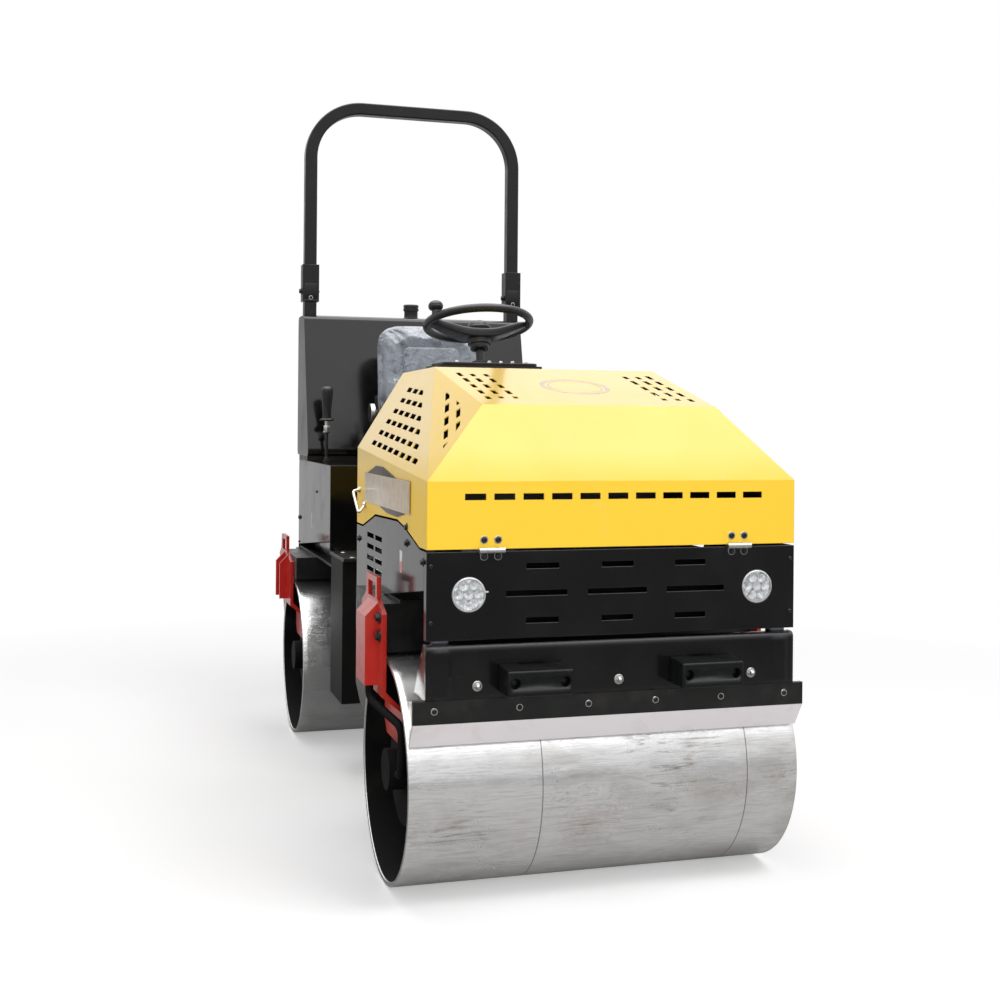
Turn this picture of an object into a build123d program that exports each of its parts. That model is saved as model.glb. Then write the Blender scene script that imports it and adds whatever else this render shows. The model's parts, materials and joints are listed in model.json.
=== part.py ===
"""Ride-on double-drum road roller, articulated in the middle.

+X is forward, +Y is the machine's left and +Z is up. The origin lies on the ground under the
articulation pivot, which is also the middle of the machine's length. All sizes are in millimetres.
"""
from build123d import *
import math
import os

# ---------------------------------------------------------------- driving dimensions
WHEELBASE = 1811.0            # front drum axle to rear drum axle
DRUM_RADIUS = 300.0
DRUM_WIDTH = 1066.0
DRUM_SHELL = 14.0             # rolled steel wall of a drum
DRUM_WEB = 14.0               # end disc inside a drum
DRUM_RECESS = 135.0           # end disc behind the drum's rim
DRUM_BOSS_RADIUS = 95.0
DRUM_BOSS = 22.0
JOURNAL_RADIUS = 35.0
JOURNAL_LENGTH = 46.0
RUNNING_GAP = 0.05            # radial clearance of every bearing
SIDE_GAP = 6.0                # between a drum's rim and what carries it
FACE_GAP = 0.3                # between faces that slide past each other

BODY_WIDTH = 1000.0           # hood, side panels and front panels
SHEET = 4.0                   # panel sheet
HOOD_SHEET = 3.0
OVERHANG = 331.5              # axle to the outer panel face, at both ends
PANEL_GAP = 6.0               # between neighbouring panels

# hood, as heights above the ground and distances behind its front face
HOOD_BOTTOM = 915.0
HOOD_FOLD_FRONT = 1082.0      # top of the upright front face
HOOD_FOLD_REAR = 1148.0       # the side fold rises to the rear
HOOD_LENGTH = 938.5
HOOD_NOSE_SETBACK = 123.5
HOOD_NOSE_TOP = 1275.0
HOOD_NOSE_WIDTH = 654.0
HOOD_CREST_SETBACK = 597.5
HOOD_CREST_TOP = 1388.0
HOOD_CREST_WIDTH = 678.0
HOOD_REAR_TOP = 1381.0

# frame
FRONT_BEAM_TOP = 743.0
FRONT_BEAM_REAR = 400.0       # behind the front axle
FRONT_BEAM_FRONT = 10.0       # ahead of the front axle
REAR_BEAM_TOP = 698.0
REAR_BEAM_REAR = 245.0
REAR_BEAM_FRONT = 130.0
BEAM_CLEARANCE = 14.0         # beam above a drum
BULKHEAD = 12.0
BULKHEAD_BOTTOM = 343.0
PANEL_CUT = (117.0, 75.0)     # lower rear corner cut off a side panel
DECK = 8.0
DECK_NECK = 400.0             # half width ahead of the beam

# articulation
YOKE_HEIGHT = 480.0           # centre of the joint
YOKE_WIDTH = 150.0
EAR = 28.0
EAR_GAP = 140.0               # between the yoke's ears
KINGPIN_RADIUS = 25.0
SWIVEL_RADIUS = 45.0          # journal on which the front frame rolls
SWIVEL_LENGTH = 70.0
CYLINDER_ANCHOR = (-120.0, 160.0)   # barrel pin on the rear frame
YOKE_SETBACK = 60.0           # yoke's plate behind the front frame's bulkhead
YOKE_PLATE = 30.0
EYE_SETBACK = 28.5            # rod eye behind the yoke's plate
EYE_ASIDE = 120.0             # rod eye beside the pivot
CYLINDER_RADIUS = 26.0
CYLINDER_BARREL = 168.0
PISTON_ROD_RADIUS = 12.0
PISTON_ROD_LENGTH = 190.0
CYLINDER_BORE = 400.0
CLEVIS_RADIUS = 24.0
CLEVIS_PLATE = 14.0
CLEVIS_GAP = 36.0
CLEVIS_PIN_RADIUS = 10.0
EYE_HEIGHT = 28.0

# operator's station
POST_FRONT = 148.5            # behind the pivot
POST_LENGTH = 241.0
POST_WIDTH = 934.0
POST_BOTTOM = 255.0
FLOOR_TOP = 757.0
FLOOR = 12.0
TONGUE_WIDTH = 420.0          # floor under the pedestal
TONGUE_REACH = 110.0
CONSOLE_TOP = 1066.0
CONSOLE_FRONT = 424.5
CONSOLE_INNER = 300.0
CONSOLE_LIP = 46.0            # skirt outside the console's core
SKIRT_FOOT = 790.0            # lower edge of the skirt at its front end
SEAT_WIDTH = 440.0
SEAT_TOP = 1250.0
SEAT_THICKNESS = 110.0
SEAT_FRONT = 330.0
SEAT_DEPTH = 430.0
SEAT_BACK_TOP = 1625.0
SEAT_BACK_THICKNESS = 90.0
SEAT_BACK_RAKE = 8.0
SEAT_BACK_INSET = 6.0         # backrest narrower than the cushion, on each side
SEAT_BOX_WIDTH = 400.0
SEAT_PAN = 6.0
RECLINER_TOP = 1330.0
RECLINER_X = 800.0            # behind the pivot
RECLINER_Z = 1296.0
RECLINER_BOLT = 12.0
PEDESTAL_WIDTH = 300.0
PEDESTAL_DEPTH = 170.0
DASH_WIDTH = 366.0
DASH_DEPTH = 210.0
DASH_BOTTOM = 1290.0
DASH_TOP = 1420.0
DASH_CENTRE = 40.0            # behind the pivot

TANK_TOP = 1667.0
TANK_BOTTOM = 1086.0
TANK_FRONT_TOP = 1130.0
TANK_FRONT_BOTTOM = 980.5
TANK_REAR = 1295.0
TANK_CORNER = 25.0
CAP_RADIUS = 33.0
CAP_HEIGHT = 61.0
CAP_SETBACK = 70.0            # filler cap's middle behind the tank's upper front edge

# steering wheel
WHEEL_RADIUS = 196.0          # to the outside of the rim
WHEEL_RIM = 13.5              # rim section radius
WHEEL_TILT = 14.0
WHEEL_CENTRE = (-119.5, 0.0, 1580.0)
SPOKE_WIDTH = 56.0
HUB_RADIUS = 45.0
HUB_TOP = -18.0               # from the rim's plane, up the column
HUB_BOTTOM = -50.0
COLLAR_RADIUS = 30.0
COLLAR_BOTTOM = -92.0
COLUMN_RADIUS = 14.0
COLUMN_FLANGE = 36.0
KNOB_RADIUS = 25.5            # steering knob on the rim
KNOB_HEIGHT = 40.0
KNOB_ANGLE = -68.0            # from straight ahead

# travel lever on the right console
LEVER_X = 940.0               # behind the pivot
LEVER_Y = 400.0
LEVER_ROD = 6.0
LEVER_GRIP_BOTTOM = 1255.0
LEVER_GRIP = 113.0

# roll-over hoop
ROPS_TUBE = 50.0
ROPS_TOP = 2567.0
ROPS_INSET = 4.0              # hoop's side face inside the tank's
ROPS_CORNER = 240.0
ROPS_WALL = 4.0
ROPS_SETBACK = 44.5           # hoop's plane behind the tank's upper front edge
ROPS_PIVOT = 1768.0
ROPS_PIN_RADIUS = 10.0
SLEEVE_TOP = 1878.0
SLEEVE_BOTTOM = 1724.0
SLEEVE_WALL = 8.0
SLEEVE_GAP = 1.0
SLEEVE_STOP = 34.0            # lower edge of the sleeve's front wall above the pin

# front panels
LAMP_Y = 392.0
LAMP_Z = 803.0
LAMP_RADIUS = 44.0
LAMP_DEPTH = 30.0
GRILLE_BOTTOM = 691.0
LOWER_TOP = 681.0
LOWER_BOTTOM = 545.0
PANEL_RETURN = 26.0           # side flange of a front panel
PANEL_BEND = 14.0             # outer radius of a lower panel's upper bend
GUSSET_TOP = 31.0             # side flange of a lower panel, at its top and bottom
GUSSET_BOTTOM = 125.0
HINGE_Y = 336.0
HINGE_WIDTH = 66.0
HINGE_LEAF = 3.0
HINGE_HEIGHT = 30.0
HINGE_PIN_RADIUS = 4.0
HINGE_KNUCKLE_RADIUS = 7.5
STRUT_Y = 460.0               # upright struts behind the lower panels
STRUT_WIDTH = 40.0
BUMPER_LENGTH = 84.0
BUMPER_WIDTH = 170.0
BUMPER_HEIGHT = 74.0
BUMPER_Y = 230.0
BUMPER_Z = 603.0
BUMPER_BEVEL = 16.0
BUMPER_BOLT_Y = 62.0
SCRAPER_BAR_TOP = 537.0
SCRAPER_BAR_HEIGHT = 50.0
SCRAPER_BAR_DEPTH = 14.0
SCRAPER_BAR_LIP = 8.0         # bar above its visible face, behind the panel
SCRAPER_WIDTH = 1060.0
BLADE_HEIGHT = 62.0
BLADE_SHEET = 10.0
BLADE_GAP = 5.0               # blade above the drum's skin

# drum brackets, as distances ahead of the axle and heights above the ground or the beam
BRACKET_PLATE = 12.0
BRACKET_FRONT = 50.0
BRACKET_REAR = -190.0
BRACKET_FOOT = 502.0          # lower end of the outer plate, where it turns into the drum
ARM_INSET = 55.0              # inner plate, inwards from the outer one
ARM_TOP = 457.0
ARM_BOTTOM = 365.0
ARM_REAR = -178.0
ARM_CORNER = 32.0
CARRIER_RADIUS = 150.0        # black disc between the inner plate and the bearing housing
CARRIER = 10.0
EYE_TOP = 66.0                # above the beam
EYE_LENGTH = 160.0
EYE_HOLE_LENGTH = 102.0
EYE_HOLE_HEIGHT = 41.0
EYE_HOLE_AHEAD = 40.0         # hole behind the eye's rear end
FRONT_EYE = -190.0            # rear end of the eye
REAR_EYE = -240.0
MOTOR_BOX = 34.0              # outside the bracket plate
BOX_FRONT = -14.0
BOX_LENGTH = 129.0
BOX_BOTTOM = 523.0
HUB_RADIUS_DRUM = 85.0        # bearing housing inside the drum's open end
MOTOR_RADIUS = 55.0
MOTOR_REACH = 34.0            # motor outside the inner plate
PIPE_RADIUS = 11.0
PIPE_BEND = 34.0
PIPE_AHEAD = 98.0             # the pipe's upright run, ahead of the axle
PIPE_TOP = 432.0

# engine
ENGINE_LENGTH = 560.0
ENGINE_WIDTH = 420.0
ENGINE_HEIGHT = 430.0
ENGINE_AHEAD = 130.0          # its front end ahead of the axle

# openings in the sheet
VENT_LENGTH = 48.0            # small slots in the hood's slopes
VENT_HEIGHT = 14.0
VENT_PITCH = 77.0
SIDE_SLOT_LENGTH = 52.0       # slots in the hood's long side slopes
SIDE_SLOT_HEIGHT = 15.0
SIDE_SLOT_PITCH = 78.0
SIDE_SLOT_MARGIN = 53.0       # from the sloped front edge
FACET_MARGIN = 36.0
NOSE_SLOTS = 11
NOSE_SLOT_LENGTH = 54.0
NOSE_SLOT_HEIGHT = 16.0
NOSE_SLOT_PITCH = 75.4
NOSE_SLOT_Z = 1044.0

# ---------------------------------------------------------------- derived places
TANK_WIDTH = POST_WIDTH
ROPS_X = TANK_FRONT_TOP + ROPS_SETBACK
ROPS_WIDTH = TANK_WIDTH - 2 * ROPS_INSET
FRONT_AXLE = WHEELBASE / 2
REAR_AXLE = -WHEELBASE / 2
AXLE_Z = DRUM_RADIUS
DRUM_HALF = DRUM_WIDTH / 2
BEAM_HALF = DRUM_HALF + SIDE_GAP
BEAM_BOTTOM = 2 * DRUM_RADIUS + BEAM_CLEARANCE
BODY_HALF = BODY_WIDTH / 2
FRONT_FACE = FRONT_AXLE + OVERHANG
REAR_FACE = REAR_AXLE - OVERHANG
HOOD_REAR = FRONT_FACE - HOOD_LENGTH
YOKE_BACK = HOOD_REAR - YOKE_SETBACK
CYLINDER_EYE = (YOKE_BACK - EYE_SETBACK, EYE_ASIDE)
DECK_BOTTOM = FRONT_BEAM_TOP
POST_REAR = -POST_FRONT - POST_LENGTH
POST_TOP = FLOOR_TOP - FLOOR
REAR_DECK_TOP = REAR_BEAM_TOP + DECK
CONSOLE_REAR = -(REAR_FACE + SHEET + FACE_GAP)
HINGE_X = FRONT_FACE + HINGE_KNUCKLE_RADIUS + 0.5
HINGE_Z = HOOD_BOTTOM - PANEL_GAP / 2
SIDES = {"right": -1, "left": 1}

os.makedirs("parts", exist_ok=True)


# ---------------------------------------------------------------- helpers
def block(x0, x1, y0, y1, z0, z1):
    """A box between two corners."""
    x0, x1 = sorted((x0, x1))
    y0, y1 = sorted((y0, y1))
    z0, z1 = sorted((z0, z1))
    return Pos((x0 + x1) / 2, (y0 + y1) / 2, (z0 + z1) / 2) * Box(x1 - x0, y1 - y0, z1 - z0)


def rod(radius, start, end):
    """A round bar between two points."""
    start, end = Vector(*start), Vector(*end)
    plane = Plane(origin=start, z_dir=end - start)
    return extrude(plane * Circle(radius), (end - start).length)


def slab_xz(points, y0, y1):
    """An outline in X and Z, extruded from y0 to y1."""
    low, high = sorted((y0, y1))
    face = make_face(Polyline(*[(x, low, z) for x, z in points], close=True))
    return extrude(face, high - low, dir=(0, 1, 0))


def slab_yz(points, x0, x1):
    """An outline in Y and Z, extruded from x0 to x1."""
    low, high = sorted((x0, x1))
    face = make_face(Polyline(*[(low, y, z) for y, z in points], close=True))
    return extrude(face, high - low, dir=(1, 0, 0))


def hull_solid(faces):
    """A closed solid from its flat faces, each a list of corners."""
    return Solid(Shell([make_face(Polyline(*corners, close=True)).face() for corners in faces]))


def save(name, shape):
    """One STEP file for one sub-part."""
    export_step(shape, f"parts/{name}.step")


# ---------------------------------------------------------------- drums
def drum(axle_x):
    """A hollow drum with two recessed end discs, their bosses and the journals."""
    def ring(radius, y0, y1):
        return rod(radius, (axle_x, y0, AXLE_Z), (axle_x, y1, AXLE_Z))

    body = ring(DRUM_RADIUS, -DRUM_HALF, DRUM_HALF)
    web_face = DRUM_HALF - DRUM_RECESS
    inner = DRUM_RADIUS - DRUM_SHELL
    body -= ring(inner, -DRUM_HALF, -web_face)
    body -= ring(inner, web_face, DRUM_HALF)
    body -= ring(inner, -web_face + DRUM_WEB, web_face - DRUM_WEB)
    for side in SIDES.values():
        body += ring(DRUM_BOSS_RADIUS, side * (web_face - DRUM_WEB), side * (web_face + DRUM_BOSS))
        journal_end = web_face + DRUM_BOSS + JOURNAL_LENGTH
        body += ring(JOURNAL_RADIUS, side * web_face, side * journal_end)
    return body


def drum_bracket(axle_x, side, beam_top, eye_rear, with_motor_box):
    """The plate with a lifting eye, its turned-in foot and the inner plate at the drum's bearing."""
    inner_y = side * BEAM_HALF
    outer_y = side * (BEAM_HALF + BRACKET_PLATE)
    eye_top = beam_top + EYE_TOP
    # x ahead of the axle, z above the ground
    outline = [(BRACKET_REAR - 50, beam_top - 60), (eye_rear - 55, beam_top - 20), (eye_rear + 5, beam_top + 10),
               (eye_rear + 14, eye_top), (eye_rear + EYE_LENGTH, eye_top), (eye_rear + EYE_LENGTH, beam_top + 8),
               (eye_rear + EYE_LENGTH + 65, beam_top - 14), (BRACKET_FRONT, beam_top - 24),
               (BRACKET_FRONT, BRACKET_FOOT), (BRACKET_REAR, BRACKET_FOOT), (BRACKET_REAR - 50, BRACKET_FOOT + 60)]
    plate = slab_xz([(axle_x + x, z) for x, z in outline], inner_y, outer_y)
    hole_rear = axle_x + eye_rear + EYE_HOLE_AHEAD
    hole_top = eye_top - 17
    plate -= block(hole_rear, hole_rear + EYE_HOLE_LENGTH, 0, outer_y + side * BRACKET_PLATE,
                   hole_top - EYE_HOLE_HEIGHT, hole_top)
    # the foot slopes inwards, from the outer plate to the inner one
    arm_outer = outer_y - side * ARM_INSET
    arm_inner = inner_y - side * ARM_INSET
    foot = slab_yz([(inner_y, BRACKET_FOOT + BRACKET_PLATE), (outer_y, BRACKET_FOOT + BRACKET_PLATE),
                    (outer_y, BRACKET_FOOT), (arm_outer, ARM_TOP), (arm_outer, ARM_TOP - BRACKET_PLATE),
                    (arm_inner, ARM_TOP - BRACKET_PLATE), (arm_inner, ARM_TOP)],
                   axle_x + BRACKET_REAR + 40, axle_x + BRACKET_FRONT)
    arm = slab_xz([(axle_x + x, z) for x, z in [
        (ARM_REAR, ARM_TOP), (BRACKET_FRONT, ARM_TOP), (BRACKET_FRONT, ARM_BOTTOM),
        (ARM_REAR + ARM_CORNER, ARM_BOTTOM), (ARM_REAR, ARM_BOTTOM + ARM_CORNER)]], arm_inner, arm_outer)
    part = plate + foot + arm
    box_y = outer_y + side * MOTOR_BOX
    box_front = axle_x + BOX_FRONT
    profile = [(outer_y, beam_top), (box_y, beam_top - 35), (box_y, BOX_BOTTOM), (outer_y, BOX_BOTTOM)]
    if with_motor_box:
        return part + slab_yz(profile, box_front - BOX_LENGTH, box_front)
    for start in (box_front - BOX_LENGTH, box_front - BRACKET_PLATE):
        part += slab_yz(profile, start, start + BRACKET_PLATE)
    return part


def drum_bearing(axle_x, side, with_pipe):
    """The carrier disc inside the bracket's inner plate, its bearing housing, the motor and its steel pipe."""
    start = side * (DRUM_HALF - DRUM_RECESS + DRUM_BOSS + FACE_GAP)
    face = side * (BEAM_HALF - ARM_INSET)
    motor_end = face + side * (BRACKET_PLATE + MOTOR_REACH)
    part = rod(HUB_RADIUS_DRUM, (axle_x, start, AXLE_Z), (axle_x, face, AXLE_Z))
    part += rod(CARRIER_RADIUS, (axle_x, face - side * CARRIER, AXLE_Z), (axle_x, face, AXLE_Z))
    part += rod(MOTOR_RADIUS, (axle_x, face, AXLE_Z), (axle_x, motor_end, AXLE_Z))
    part -= rod(JOURNAL_RADIUS + RUNNING_GAP, (axle_x, 0, AXLE_Z), (axle_x, start + side * (JOURNAL_LENGTH + 1), AXLE_Z))
    if not with_pipe:
        return part
    pipe_y = motor_end - side * (MOTOR_REACH / 2 + 6)
    box_y = side * (BEAM_HALF + BRACKET_PLATE + MOTOR_BOX / 2)
    box_x = axle_x + BOX_FRONT - BOX_LENGTH / 6
    start_x = axle_x + MOTOR_RADIUS - 10
    route = FilletPolyline((start_x, pipe_y, AXLE_Z), (axle_x + PIPE_AHEAD, pipe_y, AXLE_Z),
                           (axle_x + PIPE_AHEAD, pipe_y, PIPE_TOP), (box_x, box_y, BOX_BOTTOM - 38),
                           (box_x, box_y, BOX_BOTTOM), radius=PIPE_BEND)
    return part + sweep(Plane(origin=(start_x, pipe_y, AXLE_Z), z_dir=(1, 0, 0)) * Circle(PIPE_RADIUS), route)


# ---------------------------------------------------------------- hood
def hood_corners():
    """The hood's corner points on one side, as (x, half width, z), keyed by letter."""
    front, rear = FRONT_FACE, HOOD_REAR
    nose_x = front - HOOD_NOSE_SETBACK
    crest_x = front - HOOD_CREST_SETBACK
    # the side slope is flat through the fold and the crest, which fixes the rear corner's width
    fold_rise = (HOOD_FOLD_REAR - HOOD_FOLD_FRONT) / HOOD_LENGTH
    fold_at_crest = HOOD_FOLD_FRONT + fold_rise * HOOD_CREST_SETBACK
    inset_per_rise = (BODY_HALF - HOOD_CREST_WIDTH / 2) / (HOOD_CREST_TOP - fold_at_crest)
    rear_half = BODY_HALF - inset_per_rise * (HOOD_REAR_TOP - HOOD_FOLD_REAR)
    return {
        "front_bottom": (front, BODY_HALF, HOOD_BOTTOM),
        "front_fold": (front, BODY_HALF, HOOD_FOLD_FRONT),
        "nose": (nose_x, HOOD_NOSE_WIDTH / 2, HOOD_NOSE_TOP),
        "crest": (crest_x, HOOD_CREST_WIDTH / 2, HOOD_CREST_TOP),
        "rear_top": (rear, rear_half, HOOD_REAR_TOP),
        "rear_fold": (rear, BODY_HALF, HOOD_FOLD_REAR),
        "rear_bottom": (rear, BODY_HALF, HOOD_BOTTOM),
    }


# the skirt's lower edge: distance behind the front face and height over the hood's bottom
SKIRT_STEPS = [(78.0, 0.0), (235.0, 36.0), (343.0, 51.0), (648.0, 44.0), (840.0, 0.0)]


def slots(plane, boxes, region, depth):
    """Cutting bodies for slots in a plane: each box is (u0, u1, v0, v1), clipped to a region's outline."""
    clip = make_face(Polyline(*region, close=True))
    cuts = []
    for u0, u1, v0, v1 in boxes:
        face = Pos((u0 + u1) / 2, (v0 + v1) / 2) * Rectangle(u1 - u0, v1 - v0)
        cuts += [extrude(plane * piece, depth, both=True) for piece in (face & clip).faces()]
    return cuts


def face_plane(origin, along, across):
    """A plane with its x along one edge of a flat facet that also holds a third point."""
    origin, along, across = Vector(*origin), Vector(*along), Vector(*across)
    return Plane(origin=origin, x_dir=along - origin, z_dir=(along - origin).cross(across - origin))


# side slope: height of a row above the fold, distance of its last slot's end from the front, numbers of slots
SIDE_ROWS = [(34.0, 790.0), (71.0, 786.0), (110.0, 780.0), (147.0, 773.0), (185.0, 768.0), (222.0, 766.0)]
SIDE_ROW_COUNTS = [8, 7, 6, 5, 4, 3]
# corner facet: distance of a column from the edge, distance of its first slot from the fold, numbers of slots
FACET_COLUMNS = [(52.0, 97.0), (90.0, 174.0)]
FACET_COLUMN_COUNTS = [5, 3]
# top: distance of a column from the middle, start and end of its run behind the crest
TOP_COLUMNS = [(290.0, 80.0, 425.0), (253.0, 94.0, 414.0), (213.0, 94.0, 414.0)]
TOP_ROWS = 5
TOP_FIRST = 80.0


def side_slots(points):
    """The slots in the right-hand side slope."""
    fold, crest, rear = (tuple((x, -half, z)) for x, half, z in
                         (points["front_fold"], points["crest"], points["rear_fold"]))
    plane = face_plane(fold, rear, crest)
    raised = plane.to_local_coords(Vector(*crest))
    crest_u, crest_v = raised.X, raised.Y
    margin = SIDE_SLOT_MARGIN * math.hypot(crest_u, crest_v) / crest_v
    boxes = [(end - SIDE_SLOT_LENGTH - k * SIDE_SLOT_PITCH, end - k * SIDE_SLOT_PITCH,
              v - SIDE_SLOT_HEIGHT / 2, v + SIDE_SLOT_HEIGHT / 2)
             for (v, end), count in zip(SIDE_ROWS, SIDE_ROW_COUNTS) for k in range(count)]
    region = [(margin, 0), (margin + crest_u, crest_v), (HOOD_LENGTH, crest_v), (HOOD_LENGTH, 0)]
    return slots(plane, boxes, region, 3 * HOOD_SHEET)


def facet_slots(points):
    """The slots in the right-hand corner facet, between the front slope and the side slope."""
    fold, crest, nose = (tuple((x, -half, z)) for x, half, z in
                         (points["front_fold"], points["crest"], points["nose"]))
    plane = face_plane(fold, crest, nose)
    corners = [plane.to_local_coords(Vector(*corner)) for corner in (fold, crest, nose)]
    outline = make_face(Polyline(*[(c.X, c.Y) for c in corners], close=True))
    region = [(v.X, v.Y) for v in offset(outline, amount=-FACET_MARGIN, kind=Kind.INTERSECTION).vertices()]
    boxes = [(start + k * VENT_PITCH, start + k * VENT_PITCH + VENT_LENGTH, v - VENT_HEIGHT / 2, v + VENT_HEIGHT / 2)
             for (v, start), count in zip(FACET_COLUMNS, FACET_COLUMN_COUNTS) for k in range(count)]
    return slots(plane, boxes, region, 3 * HOOD_SHEET)


def top_slots(points):
    """The two groups of slots in the top, between its crest and the nose."""
    nose_x, _, nose_z = points["nose"]
    crest_x, _, crest_z = points["crest"]
    plane = face_plane((crest_x, 0, crest_z), (nose_x, 0, nose_z), (crest_x, BODY_HALF, crest_z))
    cuts = []
    for side in SIDES.values():
        for y, start, end in TOP_COLUMNS:
            v = side * y
            boxes = [(TOP_FIRST + k * VENT_PITCH, TOP_FIRST + k * VENT_PITCH + VENT_LENGTH,
                      v - VENT_HEIGHT / 2, v + VENT_HEIGHT / 2) for k in range(TOP_ROWS)]
            region = [(start, v - 20), (end, v - 20), (end, v + 20), (start, v + 20)]
            cuts += slots(plane, boxes, region, 3 * HOOD_SHEET)
    return cuts


def nose_slots():
    """The row of slots in the upright front face."""
    first = -NOSE_SLOT_PITCH * (NOSE_SLOTS - 1) / 2
    return [block(FRONT_FACE - 3 * HOOD_SHEET, FRONT_FACE + 1,
                  first + k * NOSE_SLOT_PITCH - NOSE_SLOT_LENGTH / 2, first + k * NOSE_SLOT_PITCH + NOSE_SLOT_LENGTH / 2,
                  NOSE_SLOT_Z - NOSE_SLOT_HEIGHT / 2, NOSE_SLOT_Z + NOSE_SLOT_HEIGHT / 2)
            for k in range(NOSE_SLOTS)]


def hood_shell():
    """The folded sheet hood with its slots."""
    points = hood_corners()

    def corner(name, side):
        x, half, z = points[name]
        return (x, side * half, z)

    faces = []
    for loop in (("front_bottom", "front_fold"), ("front_fold", "nose"), ("nose", "crest"),
                 ("crest", "rear_top"), ("rear_bottom", "front_bottom")):
        first, second = loop
        faces.append([corner(first, -1), corner(first, 1), corner(second, 1), corner(second, -1)])
    faces.append([corner("rear_bottom", -1), corner("rear_fold", -1), corner("rear_top", -1),
                  corner("rear_top", 1), corner("rear_fold", 1), corner("rear_bottom", 1)])
    for side in SIDES.values():
        faces.append([corner(n, side) for n in ("front_bottom", "front_fold", "rear_fold", "rear_bottom")])
        faces.append([corner(n, side) for n in ("front_fold", "nose", "crest")])
        faces.append([corner(n, side) for n in ("front_fold", "crest", "rear_top", "rear_fold")])
    outer = hull_solid(faces)
    bottom = outer.faces().sort_by(Axis.Z)[0]
    shell = offset(outer, amount=-HOOD_SHEET, openings=bottom)
    steps = [(FRONT_FACE - x, HOOD_BOTTOM + z) for x, z in SKIRT_STEPS]
    skirt = slab_xz([(steps[0][0], HOOD_BOTTOM - 1)] + steps + [(steps[-1][0], HOOD_BOTTOM - 1)],
                    -BODY_HALF - 1, BODY_HALF + 1)
    right = side_slots(points) + facet_slots(points)
    left = [mirror(cut, about=Plane.XZ) for cut in right]
    return shell - skirt - (right + left + top_slots(points) + nose_slots())


# ---------------------------------------------------------------- front frame
# side panel vents: height of a row, then start and end of each slot ahead of the panel's rear edge
SIDE_VENT_ROWS = [892.0, 859.0, 826.0, 794.0]
SIDE_VENT_SPANS = [(170.0, 269.0), (291.5, 388.5)]


def front_side_panel(side):
    """The sheet beside the engine, under the hood's skirt and over the drum."""
    top = HOOD_BOTTOM - PANEL_GAP
    steps = [(FRONT_FACE - x, top + z) for x, z in SKIRT_STEPS]
    front_x = FRONT_FACE - PANEL_RETURN - FACE_GAP
    arch = DRUM_RADIUS + BEAM_CLEARANCE
    arch_x = FRONT_AXLE - arch
    outline = [(front_x, top)] + steps + [
        (HOOD_REAR, top), (HOOD_REAR, BULKHEAD_BOTTOM + PANEL_CUT[1]),
        (HOOD_REAR + PANEL_CUT[0], BULKHEAD_BOTTOM), (arch_x, BULKHEAD_BOTTOM),
        (arch_x, AXLE_Z + 0.6 * arch), (FRONT_AXLE - 0.72 * arch, FRONT_BEAM_TOP),
        (FRONT_AXLE - 190, FRONT_BEAM_TOP), (front_x, FRONT_BEAM_TOP + 69)]
    panel = slab_xz(outline, side * (BODY_HALF - SHEET), side * BODY_HALF)
    beam = block(FRONT_AXLE - FRONT_BEAM_REAR - FACE_GAP, FRONT_AXLE + FRONT_BEAM_FRONT + FACE_GAP,
                 -BEAM_HALF, BEAM_HALF, BEAM_BOTTOM - FACE_GAP, FRONT_BEAM_TOP)
    vents = [block(HOOD_REAR + start, HOOD_REAR + end, side * (BODY_HALF - 2 * SHEET), side * (BODY_HALF + SHEET),
                   z - VENT_HEIGHT / 2, z + VENT_HEIGHT / 2)
             for z in SIDE_VENT_ROWS for start, end in SIDE_VENT_SPANS]
    return panel - beam - vents


def front_beam():
    """The closed cross beam over the front drum."""
    return block(FRONT_AXLE - FRONT_BEAM_REAR, FRONT_AXLE + FRONT_BEAM_FRONT, -BEAM_HALF, BEAM_HALF,
                 BEAM_BOTTOM, FRONT_BEAM_TOP)


def front_deck():
    """The deck plate that carries the engine: narrower between the beam and the front panels' struts."""
    inner = BODY_HALF - SHEET
    front = FRONT_FACE - SHEET - FACE_GAP
    plate = block(HOOD_REAR, front, -inner, inner, DECK_BOTTOM, DECK_BOTTOM + DECK)
    for side in SIDES.values():
        plate -= block(FRONT_AXLE + FRONT_BEAM_FRONT, front - STRUT_WIDTH, side * DECK_NECK, side * BODY_HALF,
                       DECK_BOTTOM, DECK_BOTTOM + DECK)
    return plate


def front_bulkhead():
    """The plate at the rear of the front frame, with the bearing of the oscillation journal."""
    inner = BODY_HALF - SHEET
    plate = block(HOOD_REAR, HOOD_REAR + BULKHEAD, -inner, inner, BULKHEAD_BOTTOM + 60, DECK_BOTTOM)
    housing = rod(SWIVEL_RADIUS + 30, (HOOD_REAR - 20, 0, YOKE_HEIGHT), (HOOD_REAR + SWIVEL_LENGTH, 0, YOKE_HEIGHT))
    bore = rod(SWIVEL_RADIUS + RUNNING_GAP, (HOOD_REAR - 30, 0, YOKE_HEIGHT),
               (HOOD_REAR + SWIVEL_LENGTH + 10, 0, YOKE_HEIGHT))
    return plate + housing - bore


def folded_panel(face_x, direction, bottom, top, half, thickness=SHEET, flange=PANEL_RETURN):
    """A flat front or rear panel with a flange folded back at each side."""
    panel = block(face_x, face_x - direction * thickness, -half, half, bottom, top)
    for side in SIDES.values():
        panel += block(face_x, face_x - direction * flange, side * (half - thickness), side * half, bottom, top)
    return panel


# grille slots: height, centre of the outer slots, length of the outer slots, length of the middle slot
GRILLE_ROWS = [(871.0, 201.0, 86.0, 86.0), (803.0, 216.0, 161.0, 161.0), (735.0, 201.0, 86.0, 86.0)]
GRILLE_SLOT_HEIGHT = 14.0


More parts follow.
